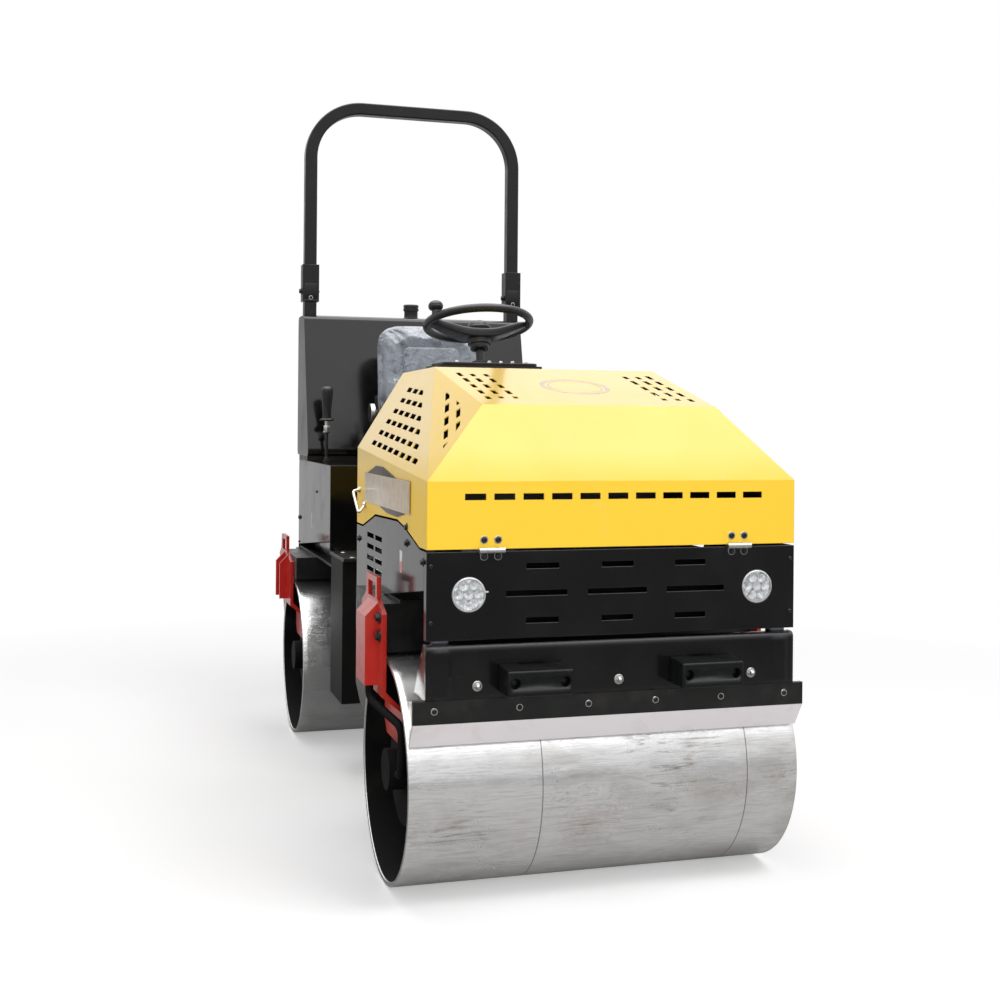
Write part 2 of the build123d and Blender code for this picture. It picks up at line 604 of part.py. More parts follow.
def radiator_panel():
    panel = folded_panel(FRONT_FACE, 1, GRILLE_BOTTOM, HOOD_BOTTOM - PANEL_GAP, BODY_HALF)
    for z, outer_y, outer_length, middle_length in GRILLE_ROWS:
        for y, length in ((-outer_y, outer_length), (0.0, middle_length), (outer_y, outer_length)):
            panel -= block(FRONT_FACE + 1, FRONT_FACE - SHEET - 1, y - length / 2, y + length / 2,
                           z - GRILLE_SLOT_HEIGHT / 2, z + GRILLE_SLOT_HEIGHT / 2)
    for side in SIDES.values():
        panel -= rod(LAMP_RADIUS, (FRONT_FACE + 1, side * LAMP_Y, LAMP_Z),
                     (FRONT_FACE - SHEET - 1, side * LAMP_Y, LAMP_Z))
    return panel


def long_edge(body, x, z):
    """The edges along Y at one x and z."""
    return [edge for edge in body.edges().filter_by(Axis.Y)
            if abs(edge.center().X - x) < 0.01 and abs(edge.center().Z - z) < 0.01]


def lower_panel(face_x, direction, beam_top):
    """A lower panel: the flat front, a gusset at each side, and the struts that carry it and its bumpers."""
    panel = block(face_x, face_x - direction * SHEET, -BODY_HALF, BODY_HALF, LOWER_BOTTOM, LOWER_TOP)
    panel += block(face_x, face_x - direction * PANEL_RETURN, -BODY_HALF, BODY_HALF, LOWER_TOP - SHEET, LOWER_TOP)
    panel = fillet(long_edge(panel, face_x - direction * SHEET, LOWER_TOP - SHEET), PANEL_BEND - SHEET)
    outline = [(0, LOWER_TOP), (GUSSET_TOP, LOWER_TOP), (GUSSET_BOTTOM, LOWER_BOTTOM), (0, LOWER_BOTTOM)]
    for side in SIDES.values():
        panel += slab_xz([(face_x - direction * x, z) for x, z in outline],
                         side * (BODY_HALF - SHEET), side * BODY_HALF)
    panel = fillet(long_edge(panel, face_x, LOWER_TOP), PANEL_BEND)
    for side in SIDES.values():
        y0, y1 = side * (STRUT_Y - STRUT_WIDTH / 2), side * (STRUT_Y + STRUT_WIDTH / 2)
        rear = face_x - direction * (SHEET + STRUT_WIDTH)
        panel += block(face_x - direction * SHEET, rear, y0, y1,
                       SCRAPER_BAR_TOP + SCRAPER_BAR_LIP, LOWER_TOP - PANEL_BEND)
        panel += block(face_x - direction * PANEL_BEND, rear, y0, y1, LOWER_TOP - PANEL_BEND, beam_top)
    return panel


def hinge_leaf(side, upper):
    """Half of a hood hinge: a leaf behind the sheet, and a web through the panel gap to the knuckles in front.

    The upper leaf has the middle knuckle, the lower leaf the outer two and the pin.
    """
    y = side * HINGE_Y
    half = HINGE_WIDTH / 2
    third = HINGE_WIDTH / 6
    knuckle_gap = FACE_GAP if upper else 0.0
    up = 1 if upper else -1
    inner = FRONT_FACE - (HOOD_SHEET if upper else SHEET)
    web_near, web_far = HINGE_Z + up * FACE_GAP, HINGE_Z + up * (PANEL_GAP / 2 - FACE_GAP)
    leaf = block(inner - HINGE_LEAF, inner, y - half, y + half, web_near, HINGE_Z + up * HINGE_HEIGHT)
    spans = [(-third + knuckle_gap, third - knuckle_gap)] if upper else [(-half, -third), (third, half)]
    for low, high in spans:
        leaf += rod(HINGE_KNUCKLE_RADIUS, (HINGE_X, y + low, HINGE_Z), (HINGE_X, y + high, HINGE_Z))
        leaf += block(inner - HINGE_LEAF, HINGE_X, y + low, y + high, web_near, web_far)
    if upper:
        leaf -= rod(HINGE_PIN_RADIUS + RUNNING_GAP, (HINGE_X, y - half, HINGE_Z), (HINGE_X, y + half, HINGE_Z))
    else:
        leaf += rod(HINGE_PIN_RADIUS, (HINGE_X, y - half, HINGE_Z), (HINGE_X, y + half, HINGE_Z))
    return leaf


def lamp(face_x, direction, y):
    start = (face_x + direction * 2, y, LAMP_Z)
    return rod(LAMP_RADIUS - FACE_GAP, start, (face_x - direction * LAMP_DEPTH, y, LAMP_Z))


def bumper(face_x, direction, side):
    """A rubber buffer block with bevelled upper and side edges and its two counterbored bolt holes."""
    y = side * BUMPER_Y
    tip = face_x + direction * BUMPER_LENGTH
    body = block(face_x, tip, y - BUMPER_WIDTH / 2, y + BUMPER_WIDTH / 2,
                 BUMPER_Z - BUMPER_HEIGHT / 2, BUMPER_Z + BUMPER_HEIGHT / 2)
    tip_edges = body.faces().sort_by(Axis.X, reverse=direction > 0)[0].edges().sort_by(Axis.Z)
    body = chamfer(tip_edges[1:], BUMPER_BEVEL)
    for offset_y in (-BUMPER_BOLT_Y, BUMPER_BOLT_Y):
        body -= rod(14, (tip + direction, y + offset_y, BUMPER_Z - 9),
                    (tip - direction * 30, y + offset_y, BUMPER_Z - 9))
    return body


def scraper_bar(face_x, direction):
    back = face_x - direction * (SCRAPER_BAR_DEPTH + 2)
    bar = block(back, back + direction * SCRAPER_BAR_DEPTH, -SCRAPER_WIDTH / 2, SCRAPER_WIDTH / 2,
                SCRAPER_BAR_TOP - SCRAPER_BAR_HEIGHT, SCRAPER_BAR_TOP + SCRAPER_BAR_LIP)
    return bar


def scraper_blade(axle_x, direction):
    """The plastic strip that hangs from the bar and leans towards the drum."""
    top = SCRAPER_BAR_TOP - SCRAPER_BAR_HEIGHT - FACE_GAP
    bottom = top - BLADE_HEIGHT
    reach = DRUM_RADIUS + BLADE_GAP
    foot = math.sqrt(reach ** 2 - (bottom - AXLE_Z) ** 2)
    head = OVERHANG - SCRAPER_BAR_DEPTH - 2
    outline = [(foot, bottom), (foot + BLADE_SHEET, bottom), (head + SCRAPER_BAR_DEPTH, top), (head, top)]
    return slab_xz([(axle_x + direction * x, z) for x, z in outline], -SCRAPER_WIDTH / 2, SCRAPER_WIDTH / 2)


def engine_block():
    base = DECK_BOTTOM + DECK + FACE_GAP
    front = FRONT_AXLE + ENGINE_AHEAD
    return block(front - ENGINE_LENGTH, front, -ENGINE_WIDTH / 2, ENGINE_WIDTH / 2, base, base + ENGINE_HEIGHT)


# ---------------------------------------------------------------- articulation
def articulation_yoke():
    """Two ears over and under the rear frame's head, on a plate with the oscillation journal."""
    half = YOKE_WIDTH / 2
    back = YOKE_BACK
    low, high = YOKE_HEIGHT - EAR_GAP / 2, YOKE_HEIGHT + EAR_GAP / 2
    yoke = block(back, back + YOKE_PLATE, -half, half, low - EAR, high + EAR)
    for z0, z1 in ((low - EAR, low), (high, high + EAR)):
        yoke += block(0, back, -half, half, z0, z1)
        yoke += rod(half, (0, 0, z0), (0, 0, z1))
    yoke -= rod(KINGPIN_RADIUS + RUNNING_GAP, (0, 0, low - EAR - 1), (0, 0, high + EAR + 1))
    yoke += rod(SWIVEL_RADIUS, (back + YOKE_PLATE, 0, YOKE_HEIGHT), (HOOD_REAR + SWIVEL_LENGTH - 6, 0, YOKE_HEIGHT))
    eye_x, eye_y = CYLINDER_EYE
    lug_end = eye_y + CLEVIS_RADIUS
    for z0, z1 in clevis_levels():
        yoke += block(eye_x, back + YOKE_PLATE, half, lug_end, z0, z1)
        yoke += block(eye_x - CLEVIS_RADIUS, eye_x, eye_y, lug_end, z0, z1)
        yoke += rod(CLEVIS_RADIUS, (eye_x, eye_y, z0), (eye_x, eye_y, z1))
    yoke += block(back + CLEVIS_PLATE, back + YOKE_PLATE, half, lug_end, clevis_levels()[0][0], clevis_levels()[1][1])
    return yoke


def clevis_levels():
    """The heights of a clevis's lower and upper plates, as (bottom, top)."""
    gap = CLEVIS_GAP / 2
    return [(YOKE_HEIGHT - gap - CLEVIS_PLATE, YOKE_HEIGHT - gap), (YOKE_HEIGHT + gap, YOKE_HEIGHT + gap + CLEVIS_PLATE)]


def cylinder_plane():
    """The steering cylinder's line: origin at the barrel's pin, local X towards the rod's eye."""
    (ax, ay), (bx, by) = CYLINDER_ANCHOR, CYLINDER_EYE
    return Plane(origin=(ax, ay, YOKE_HEIGHT), x_dir=(bx - ax, by - ay, 0), z_dir=(0, 0, 1))


def cylinder_length():
    (ax, ay), (bx, by) = CYLINDER_ANCHOR, CYLINDER_EYE
    return math.hypot(bx - ax, by - ay)


def steering_barrel():
    """The barrel with its eye on the rear frame's pin; it is bored for the piston rod."""
    plane = cylinder_plane()
    eye = Cylinder(CLEVIS_RADIUS, EYE_HEIGHT)
    barrel = Pos(CLEVIS_RADIUS - 6, 0, 0) * Rot(0, 90, 0) * Cylinder(
        CYLINDER_RADIUS, CYLINDER_BARREL, align=(Align.CENTER, Align.CENTER, Align.MIN))
    reach, wide = CLEVIS_RADIUS + 8, 4 * CYLINDER_RADIUS
    barrel &= (block(0, reach, -wide, wide, FACE_GAP - CLEVIS_GAP / 2, CLEVIS_GAP / 2 - FACE_GAP)
               + block(reach, reach + CYLINDER_BARREL, -wide, wide, -wide, wide))
    body = eye + barrel - Cylinder(CLEVIS_PIN_RADIUS + RUNNING_GAP, EYE_HEIGHT + 20)
    body -= Pos(CLEVIS_RADIUS, 0, 0) * Rot(0, 90, 0) * Cylinder(
        PISTON_ROD_RADIUS + RUNNING_GAP, CYLINDER_BORE, align=(Align.CENTER, Align.CENTER, Align.MIN))
    return plane * body


def steering_rod():
    """The piston rod and its eye, which sits between the yoke's clevis plates."""
    plane = cylinder_plane()
    length = cylinder_length()
    body = Pos(length, 0, 0) * Cylinder(CLEVIS_RADIUS - 2, EYE_HEIGHT)
    body += Pos(length - PISTON_ROD_LENGTH, 0, 0) * Rot(0, 90, 0) * Cylinder(
        PISTON_ROD_RADIUS, PISTON_ROD_LENGTH, align=(Align.CENTER, Align.CENTER, Align.MIN))
    return plane * body


def articulation_head():
    """The rear frame's head between the ears, with the kingpin fixed in it."""
    low, high = YOKE_HEIGHT - EAR_GAP / 2 + FACE_GAP, YOKE_HEIGHT + EAR_GAP / 2 - FACE_GAP
    head = block(-POST_FRONT, 0, -60, 60, low, high) + rod(60, (0, 0, low), (0, 0, high))
    head += rod(KINGPIN_RADIUS, (0, 0, low - EAR - 12), (0, 0, high + EAR + 12))
    anchor_x, anchor_y = CYLINDER_ANCHOR
    for z0, z1 in clevis_levels():
        head += block(-POST_FRONT, anchor_x, anchor_y - CLEVIS_RADIUS, anchor_y + CLEVIS_RADIUS, z0, z1)
        head += rod(CLEVIS_RADIUS, (anchor_x, anchor_y, z0), (anchor_x, anchor_y, z1))
    head += block(-POST_FRONT, -POST_FRONT + 4, 0, anchor_y + CLEVIS_RADIUS,
                  clevis_levels()[0][0], clevis_levels()[1][1])
    head += rod(CLEVIS_PIN_RADIUS, (anchor_x, anchor_y, clevis_levels()[0][0]),
                (anchor_x, anchor_y, clevis_levels()[1][1]))
    return head


# ---------------------------------------------------------------- rear frame
def rear_post():
    """The closed cross box behind the articulation, under the floor."""
    half = POST_WIDTH / 2
    return block(POST_REAR, -POST_FRONT, -half, half, POST_BOTTOM, POST_TOP)


def floor_plate():
    """The operator's floor, with a narrow tongue under the pedestal."""
    half = POST_WIDTH / 2
    plate = block(-CONSOLE_FRONT, -POST_FRONT + 20, -half, half, POST_TOP, FLOOR_TOP)
    plate += block(-POST_FRONT, TONGUE_REACH, -TONGUE_WIDTH / 2, TONGUE_WIDTH / 2, POST_TOP, FLOOR_TOP)
    return plate


def rear_beam():
    return block(REAR_AXLE - REAR_BEAM_REAR, REAR_AXLE + REAR_BEAM_FRONT, -BEAM_HALF, BEAM_HALF,
                 BEAM_BOTTOM, REAR_BEAM_TOP)


def rear_deck():
    """The plate over the rear beam, stepped up to the floor at its front end."""
    half = POST_WIDTH / 2 - SHEET - FACE_GAP
    deck = block(REAR_FACE + SHEET + FACE_GAP, POST_REAR, -half, half, REAR_BEAM_TOP, REAR_DECK_TOP)
    riser = block(POST_REAR - FACE_GAP - DECK, POST_REAR - FACE_GAP, -half, half, REAR_BEAM_TOP, POST_TOP)
    return deck + riser


def console(side):
    """A side console: skirt, top, front and the closed core."""
    outer = side * POST_WIDTH / 2
    inner = side * CONSOLE_INNER
    front, rear = -CONSOLE_FRONT, -CONSOLE_REAR
    skirt = slab_xz([(front, CONSOLE_TOP), (front, SKIRT_FOOT), (rear, REAR_DECK_TOP + 6), (rear, CONSOLE_TOP)],
                    outer - side * SHEET, outer)
    top = block(front, rear, inner, outer, CONSOLE_TOP - SHEET, CONSOLE_TOP)
    face = block(front, front - SHEET, inner, outer, FLOOR_TOP, CONSOLE_TOP)
    core = block(front, rear, inner, outer - side * CONSOLE_LIP, FLOOR_TOP, CONSOLE_TOP)
    core += block(front, rear, inner, outer - side * CONSOLE_LIP, REAR_DECK_TOP, CONSOLE_TOP)
    return skirt + top + face + core


def seat_box():
    half = SEAT_BOX_WIDTH / 2
    front = -SEAT_FRONT - 60
    top = SEAT_TOP - SEAT_THICKNESS - SEAT_PAN
    base = block(-CONSOLE_FRONT, front - SEAT_DEPTH + 40, -half, half, REAR_DECK_TOP, top)
    return base + block(front, -CONSOLE_FRONT, -half, half, FLOOR_TOP, top)


def seat_pan():
    """The pan under the cushion with the two side arms that carry the backrest."""
    under = SEAT_TOP - SEAT_THICKNESS - FACE_GAP
    bottom = SEAT_TOP - SEAT_THICKNESS - SEAT_PAN
    inner = SEAT_WIDTH / 2 + 1
    outer = inner + SEAT_PAN
    rear = -SEAT_FRONT - SEAT_DEPTH
    pan = block(-SEAT_FRONT - 10, rear, -outer, outer, bottom, under)
    arm = [(rear + 60, bottom), (rear - 10, bottom), (-RECLINER_X - 25, RECLINER_TOP - 60),
           (-RECLINER_X - 25, RECLINER_TOP), (-RECLINER_X + 25, RECLINER_TOP), (rear + 60, bottom + 80)]
    for side in SIDES.values():
        pan += slab_xz(arm, side * inner, side * outer)
        pan += rod(RECLINER_BOLT, (-RECLINER_X, side * (seat_back_half() + FACE_GAP), RECLINER_Z),
                   (-RECLINER_X, side * outer, RECLINER_Z))
    return pan


def seat_back_half():
    return SEAT_WIDTH / 2 - SEAT_BACK_INSET


def seat_cushion():
    half = SEAT_WIDTH / 2
    body = block(-SEAT_FRONT, -SEAT_FRONT - SEAT_DEPTH, -half, half, SEAT_TOP - SEAT_THICKNESS, SEAT_TOP)
    return fillet(body.edges(), 30)


def seat_back():
    height = SEAT_BACK_TOP - SEAT_TOP + 40
    body = Box(SEAT_BACK_THICKNESS, 2 * seat_back_half(), height, align=(Align.MAX, Align.CENTER, Align.MIN))
    body = fillet(body.edges(), 35)
    base_x = -SEAT_FRONT - SEAT_DEPTH - FACE_GAP
    return Pos(base_x, 0, SEAT_TOP - 40) * Rot(0, -SEAT_BACK_RAKE, 0) * body


def pedestal():
    half = PEDESTAL_WIDTH / 2
    centre = -DASH_CENTRE
    return block(centre - PEDESTAL_DEPTH / 2, centre + PEDESTAL_DEPTH / 2, -half, half, FLOOR_TOP, DASH_BOTTOM)


def dash():
    half = DASH_WIDTH / 2
    centre = -DASH_CENTRE
    body = block(centre - DASH_DEPTH / 2, centre + DASH_DEPTH / 2, -half, half, DASH_BOTTOM, DASH_TOP)
    return fillet(body.edges().filter_by(Axis.Z), 20)


def wheel_plane():
    """The steering wheel's plane: its normal leans back towards the seat."""
    tilt = math.radians(WHEEL_TILT)
    normal = (-math.sin(tilt), 0, math.cos(tilt))
    return Plane(origin=WHEEL_CENTRE, x_dir=(math.cos(tilt), 0, math.sin(tilt)), z_dir=normal)


def steering_column():
    """The tube from the dash to the wheel's collar, with its flange."""
    plane = wheel_plane()
    drop = (WHEEL_CENTRE[2] - DASH_TOP) / math.cos(math.radians(WHEEL_TILT))
    top = COLLAR_BOTTOM - FACE_GAP
    tube = extrude(plane.offset(-drop - 20) * Circle(COLUMN_RADIUS), drop + 20 + top)
    flange = extrude(plane.offset(-drop - 20) * Circle(COLUMN_FLANGE), 36)
    below = block(-DASH_CENTRE - DASH_DEPTH, -DASH_CENTRE + DASH_DEPTH, -DASH_WIDTH, DASH_WIDTH, 0, DASH_TOP)
    return tube + flange - below


def steering_wheel():
    """Rim, one dished cross spoke, hub, collar and the steering knob."""
    plane = wheel_plane()
    mean = WHEEL_RADIUS - WHEEL_RIM
    rim_section = Plane.XZ * Pos(mean, 0) * Rot(0, 0, 30) * Circle(WHEEL_RIM)
    wheel = revolve(rim_section, Axis.Z)
    # across the wheel and up from its plane
    end = mean - 3
    upper = [(-end, 5), (-150, 5), (-62, HUB_TOP), (62, HUB_TOP), (150, 5), (end, 5)]
    lower = [(end, -7), (130, -14), (50, HUB_BOTTOM), (-50, HUB_BOTTOM), (-130, -14), (-end, -7)]
    wheel += slab_yz(upper + lower, -SPOKE_WIDTH / 2, SPOKE_WIDTH / 2)
    wheel += Pos(0, 0, HUB_BOTTOM) * Cylinder(
        HUB_RADIUS, HUB_TOP - HUB_BOTTOM + 12, align=(Align.CENTER, Align.CENTER, Align.MIN))
    wheel += Pos(0, 0, COLLAR_BOTTOM) * Cylinder(
        COLLAR_RADIUS, HUB_BOTTOM - COLLAR_BOTTOM, align=(Align.CENTER, Align.CENTER, Align.MIN))
    turn = math.radians(KNOB_ANGLE)
    knob = Pos(mean * math.cos(turn), mean * math.sin(turn), 0)
    wheel += knob * Cylinder(7, KNOB_HEIGHT, align=(Align.CENTER, Align.CENTER, Align.MIN))
    wheel += knob * Pos(0, 0, KNOB_HEIGHT) * Sphere(KNOB_RADIUS)
    return plane * wheel


def water_tank():
    """The tank behind the seat, leaning with its front face."""
    half = TANK_WIDTH / 2
    outline = [(-TANK_FRONT_BOTTOM, TANK_BOTTOM), (-TANK_FRONT_TOP, TANK_TOP),
               (-TANK_REAR, TANK_TOP), (-TANK_REAR, TANK_BOTTOM)]
    body = slab_xz(outline, -half, half)
    return fillet(body.edges().filter_by(Axis.Y), TANK_CORNER)


def tank_stand():
    """The plate box that carries the tank behind the consoles."""
    half = TANK_WIDTH / 2
    return block(-TANK_FRONT_BOTTOM - 30, -CONSOLE_REAR, -CONSOLE_INNER + FACE_GAP, CONSOLE_INNER - FACE_GAP,
                 REAR_DECK_TOP, TANK_BOTTOM) + block(-TANK_FRONT_BOTTOM - 30, -CONSOLE_REAR, -half, half,
                                                     CONSOLE_TOP, TANK_BOTTOM)


def tank_cap():
    x = -TANK_FRONT_TOP - CAP_SETBACK
    return rod(CAP_RADIUS, (x, 0, TANK_TOP), (x, 0, TANK_TOP + CAP_HEIGHT))


def rops_base(side):
    """A post on the tank's top and the U-shaped sleeve that holds one leg of the hoop, with its pin."""
    y = side * (ROPS_WIDTH - ROPS_TUBE) / 2
    half = ROPS_TUBE / 2
    bore = half + SLEEVE_GAP
    outer = bore + SLEEVE_WALL
    post = block(-ROPS_X - half, -ROPS_X + half, y - half, y + half, TANK_TOP, SLEEVE_BOTTOM + SLEEVE_WALL)
    sleeve = block(-ROPS_X - half, -ROPS_X + outer, y - outer, y + outer, SLEEVE_BOTTOM, SLEEVE_TOP)
    sleeve -= block(-ROPS_X - half, -ROPS_X + bore, y - bore, y + bore,
                    SLEEVE_BOTTOM + SLEEVE_WALL, SLEEVE_TOP)
    sleeve -= block(-ROPS_X, -ROPS_X + outer, y - bore, y + bore,
                    SLEEVE_BOTTOM + SLEEVE_WALL, ROPS_PIVOT + SLEEVE_STOP)
    pin = rod(ROPS_PIN_RADIUS, (-ROPS_X, y - outer, ROPS_PIVOT), (-ROPS_X, y + outer, ROPS_PIVOT))
    return post + sleeve + pin


def rops_hoop():
    """The square tube hoop with round feet, bored for the two fold pins."""
    half = ROPS_TUBE / 2
    y = (ROPS_WIDTH - ROPS_TUBE) / 2
    top = ROPS_TOP - half
    path = FilletPolyline((-ROPS_X, -y, ROPS_PIVOT), (-ROPS_X, -y, top), (-ROPS_X, y, top),
                          (-ROPS_X, y, ROPS_PIVOT), radius=ROPS_CORNER - half)
    inside = ROPS_TUBE - 2 * ROPS_WALL
    start = Plane(origin=(-ROPS_X, -y, ROPS_PIVOT), z_dir=(0, 0, 1))
    hoop = sweep(start * RectangleRounded(ROPS_TUBE, ROPS_TUBE, 6), path) - sweep(start * Rectangle(inside, inside), path)
    for side in SIDES.values():
        low, high = (-ROPS_X, side * y - half, ROPS_PIVOT), (-ROPS_X, side * y + half, ROPS_PIVOT)
        hoop += rod(half, low, high)
        hoop -= rod(ROPS_PIN_RADIUS + RUNNING_GAP, low, high)
    return hoop


def console_lever():
    """The travel lever on the right console: rod, collar and tapered grip."""
    x, y = -LEVER_X, -LEVER_Y
    stem = rod(LEVER_ROD, (x, y, CONSOLE_TOP), (x, y, LEVER_GRIP_BOTTOM))
    collar = rod(29, (x, y, LEVER_GRIP_BOTTOM - 10), (x, y, LEVER_GRIP_BOTTOM))
    grip = Pos(x, y, LEVER_GRIP_BOTTOM) * Cone(
        14, 24, LEVER_GRIP, align=(Align.CENTER, Align.CENTER, Align.MIN))
    return stem + collar + grip


def rear_panel():
    """The sheet that closes the rear, from the deck to the tank."""
    half = POST_WIDTH / 2
    return block(REAR_FACE, REAR_FACE + SHEET, -half, half, LOWER_TOP + PANEL_GAP, TANK_BOTTOM)


# ---------------------------------------------------------------- write the parts
save("front_drum", drum(FRONT_AXLE))
save("rear_drum", drum(REAR_AXLE))
for side_name, side_sign in SIDES.items():
    save(f"front_bracket_{side_name}", drum_bracket(FRONT_AXLE, side_sign, FRONT_BEAM_TOP, FRONT_EYE, True))
    save(f"rear_bracket_{side_name}", drum_bracket(REAR_AXLE, side_sign, REAR_BEAM_TOP, REAR_EYE, False))
    save(f"front_bearing_{side_name}", drum_bearing(FRONT_AXLE, side_sign, True))
    save(f"rear_bearing_{side_name}", drum_bearing(REAR_AXLE, side_sign, False))
    save(f"front_side_panel_{side_name}", front_side_panel(side_sign))
    save(f"console_{side_name}", console(side_sign))
    save(f"front_bumper_{side_name}", bumper(FRONT_FACE, 1, side_sign))
    save(f"rear_bumper_{side_name}", bumper(REAR_FACE, -1, side_sign))
    save(f"headlamp_{side_name}", lamp(FRONT_FACE, 1, side_sign * LAMP_Y))
    save(f"rops_base_{side_name}", rops_base(side_sign))
    save(f"hood_hinge_{side_name}", hinge_leaf(side_sign, True))
    save(f"hinge_base_{side_name}", hinge_leaf(side_sign, False))
save("hood_shell", hood_shell())
save("front_beam", front_beam())
save("front_deck", front_deck())
save("front_bulkhead", front_bulkhead())
save("radiator_panel", radiator_panel())
save("front_lower_panel", lower_panel(FRONT_FACE, 1, FRONT_BEAM_TOP))
save("rear_lower_panel", lower_panel(REAR_FACE, -1, REAR_BEAM_TOP))
save("front_scraper_bar", scraper_bar(FRONT_FACE, 1))
save("rear_scraper_bar", scraper_bar(REAR_FACE, -1))
save("front_scraper_blade", scraper_blade(FRONT_AXLE, 1))
save("rear_scraper_blade", scraper_blade(REAR_AXLE, -1))
save("engine_block", engine_block())
save("articulation_yoke", articulation_yoke())
save("articulation_head", articulation_head())
save("steering_barrel", steering_barrel())
save("steering_rod", steering_rod())
save("rear_post", rear_post())
save("floor_plate", floor_plate())
save("rear_beam", rear_beam())
save("rear_deck", rear_deck())
save("seat_box", seat_box())
save("seat_pan", seat_pan())
save("seat_cushion", seat_cushion())
save("seat_back", seat_back())
save("pedestal", pedestal())
save("dash", dash())
save("steering_column", steering_column())
save("steering_wheel", steering_wheel())
save("water_tank", water_tank())
save("tank_stand", tank_stand())
save("tank_cap", tank_cap())
save("rops_hoop", rops_hoop())
save("console_lever", console_lever())
save("rear_panel", rear_panel())
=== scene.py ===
"""Looks of a ride-on double-drum road roller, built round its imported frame. All sizes are in metres."""
import json
import math
import bmesh
import bpy
from mathutils import Matrix, Vector, noise


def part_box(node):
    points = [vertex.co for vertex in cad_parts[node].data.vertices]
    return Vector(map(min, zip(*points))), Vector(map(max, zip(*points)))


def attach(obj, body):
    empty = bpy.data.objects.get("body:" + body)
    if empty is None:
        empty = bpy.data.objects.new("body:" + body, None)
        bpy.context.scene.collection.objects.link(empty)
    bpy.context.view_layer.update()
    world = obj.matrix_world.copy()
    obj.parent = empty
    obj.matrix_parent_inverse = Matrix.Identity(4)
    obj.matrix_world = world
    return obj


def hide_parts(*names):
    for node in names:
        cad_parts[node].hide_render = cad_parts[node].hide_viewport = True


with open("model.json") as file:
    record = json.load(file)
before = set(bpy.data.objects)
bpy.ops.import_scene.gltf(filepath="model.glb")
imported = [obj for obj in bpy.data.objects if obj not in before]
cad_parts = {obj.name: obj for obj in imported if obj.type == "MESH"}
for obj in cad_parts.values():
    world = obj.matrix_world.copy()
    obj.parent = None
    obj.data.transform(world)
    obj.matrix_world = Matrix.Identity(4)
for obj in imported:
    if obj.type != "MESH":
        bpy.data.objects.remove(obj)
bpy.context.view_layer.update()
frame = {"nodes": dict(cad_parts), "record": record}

RECORD = frame["record"]
NODES = frame["nodes"]
SLOT_OF = {row["node"]: row["material_slot"] for row in RECORD["subparts"]}
JOINT_PLACE = {joint["name"]: joint.get("pos_m") for joint in RECORD["behaviour"]["joints"]}
SIDES = {"right": -1, "left": 1}  # each hand's direction along Y
FRONT, REAR = "front_frame", "rear_frame"  # bodies
AHEAD, UP = (1, 0, 0), (0, 0, 1)


# ------ places, read from the frame
def low(node):
    return Vector(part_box(node)[0])


def high(node):
    return Vector(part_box(node)[1])


def middle(node):
    return (low(node) + high(node)) / 2


def extent(node):
    """The two corners of a node's box and its middle."""
    return low(node), high(node), middle(node)


FRONT_FACE = high("hood_shell").x
SIDE_FACE = high("hood_shell").y
REAR_FACE = low("rear_lower_panel").x
SCRAPER_FACE = high("front_scraper_bar").x
HINGE_Y = abs(middle("hood_hinge_left").y)
HOOP_PIVOT_Z = JOINT_PLACE["rops_fold"][2]
HOOD_NOSE = (FRONT_FACE - 0.1235, 1.275)  # x and z of the two folds across the hood's top
HOOD_CREST = (FRONT_FACE - 0.5975, 1.388)


# ------ materials
class Graph:
    """Shader nodes that are added to an owner's tree and linked."""

    def __init__(self, owner):
        owner.use_nodes = True
        self.tree = owner.node_tree

    def add(self, kind, inputs=None, **settings):
        """Adds a node with its settings, and links or sets its inputs."""
        node = self.tree.nodes.new("ShaderNode" + kind)
        for key, value in settings.items():
            setattr(node, key, value)
        for socket, value in (inputs or {}).items():
            self.put(node, socket, value)
        return node

    def put(self, node, socket, value):
        """Links or sets one input."""
        target = node.inputs[socket]
        if isinstance(value, bpy.types.NodeSocket):
            self.tree.links.new(value, target)
        else:
            target.default_value = value

    def window(self, value, start, end, low_value=0, high_value=1, curve="LINEAR"):
        """Maps a value's range onto another and clamps it."""
        return self.add("MapRange", {"Value": value, "From Min": start, "From Max": end, "To Min": low_value,
                                     "To Max": high_value}, interpolation_type=curve).outputs["Result"]

    def calc(self, operation, first, second=0):
        return self.add("Math", {0: first, 1: second}, operation=operation).outputs[0]

    def times(self, first, second):
        return self.calc("MULTIPLY", first, second)

    def off(self, value, centre):
        """How far a value is from a number."""
        return self.calc("ABSOLUTE", self.calc("SUBTRACT", value, centre))

    def axis(self, place, name):
        """One coordinate of a place."""
        return self.add("SeparateXYZ", {"Vector": place}).outputs[name]


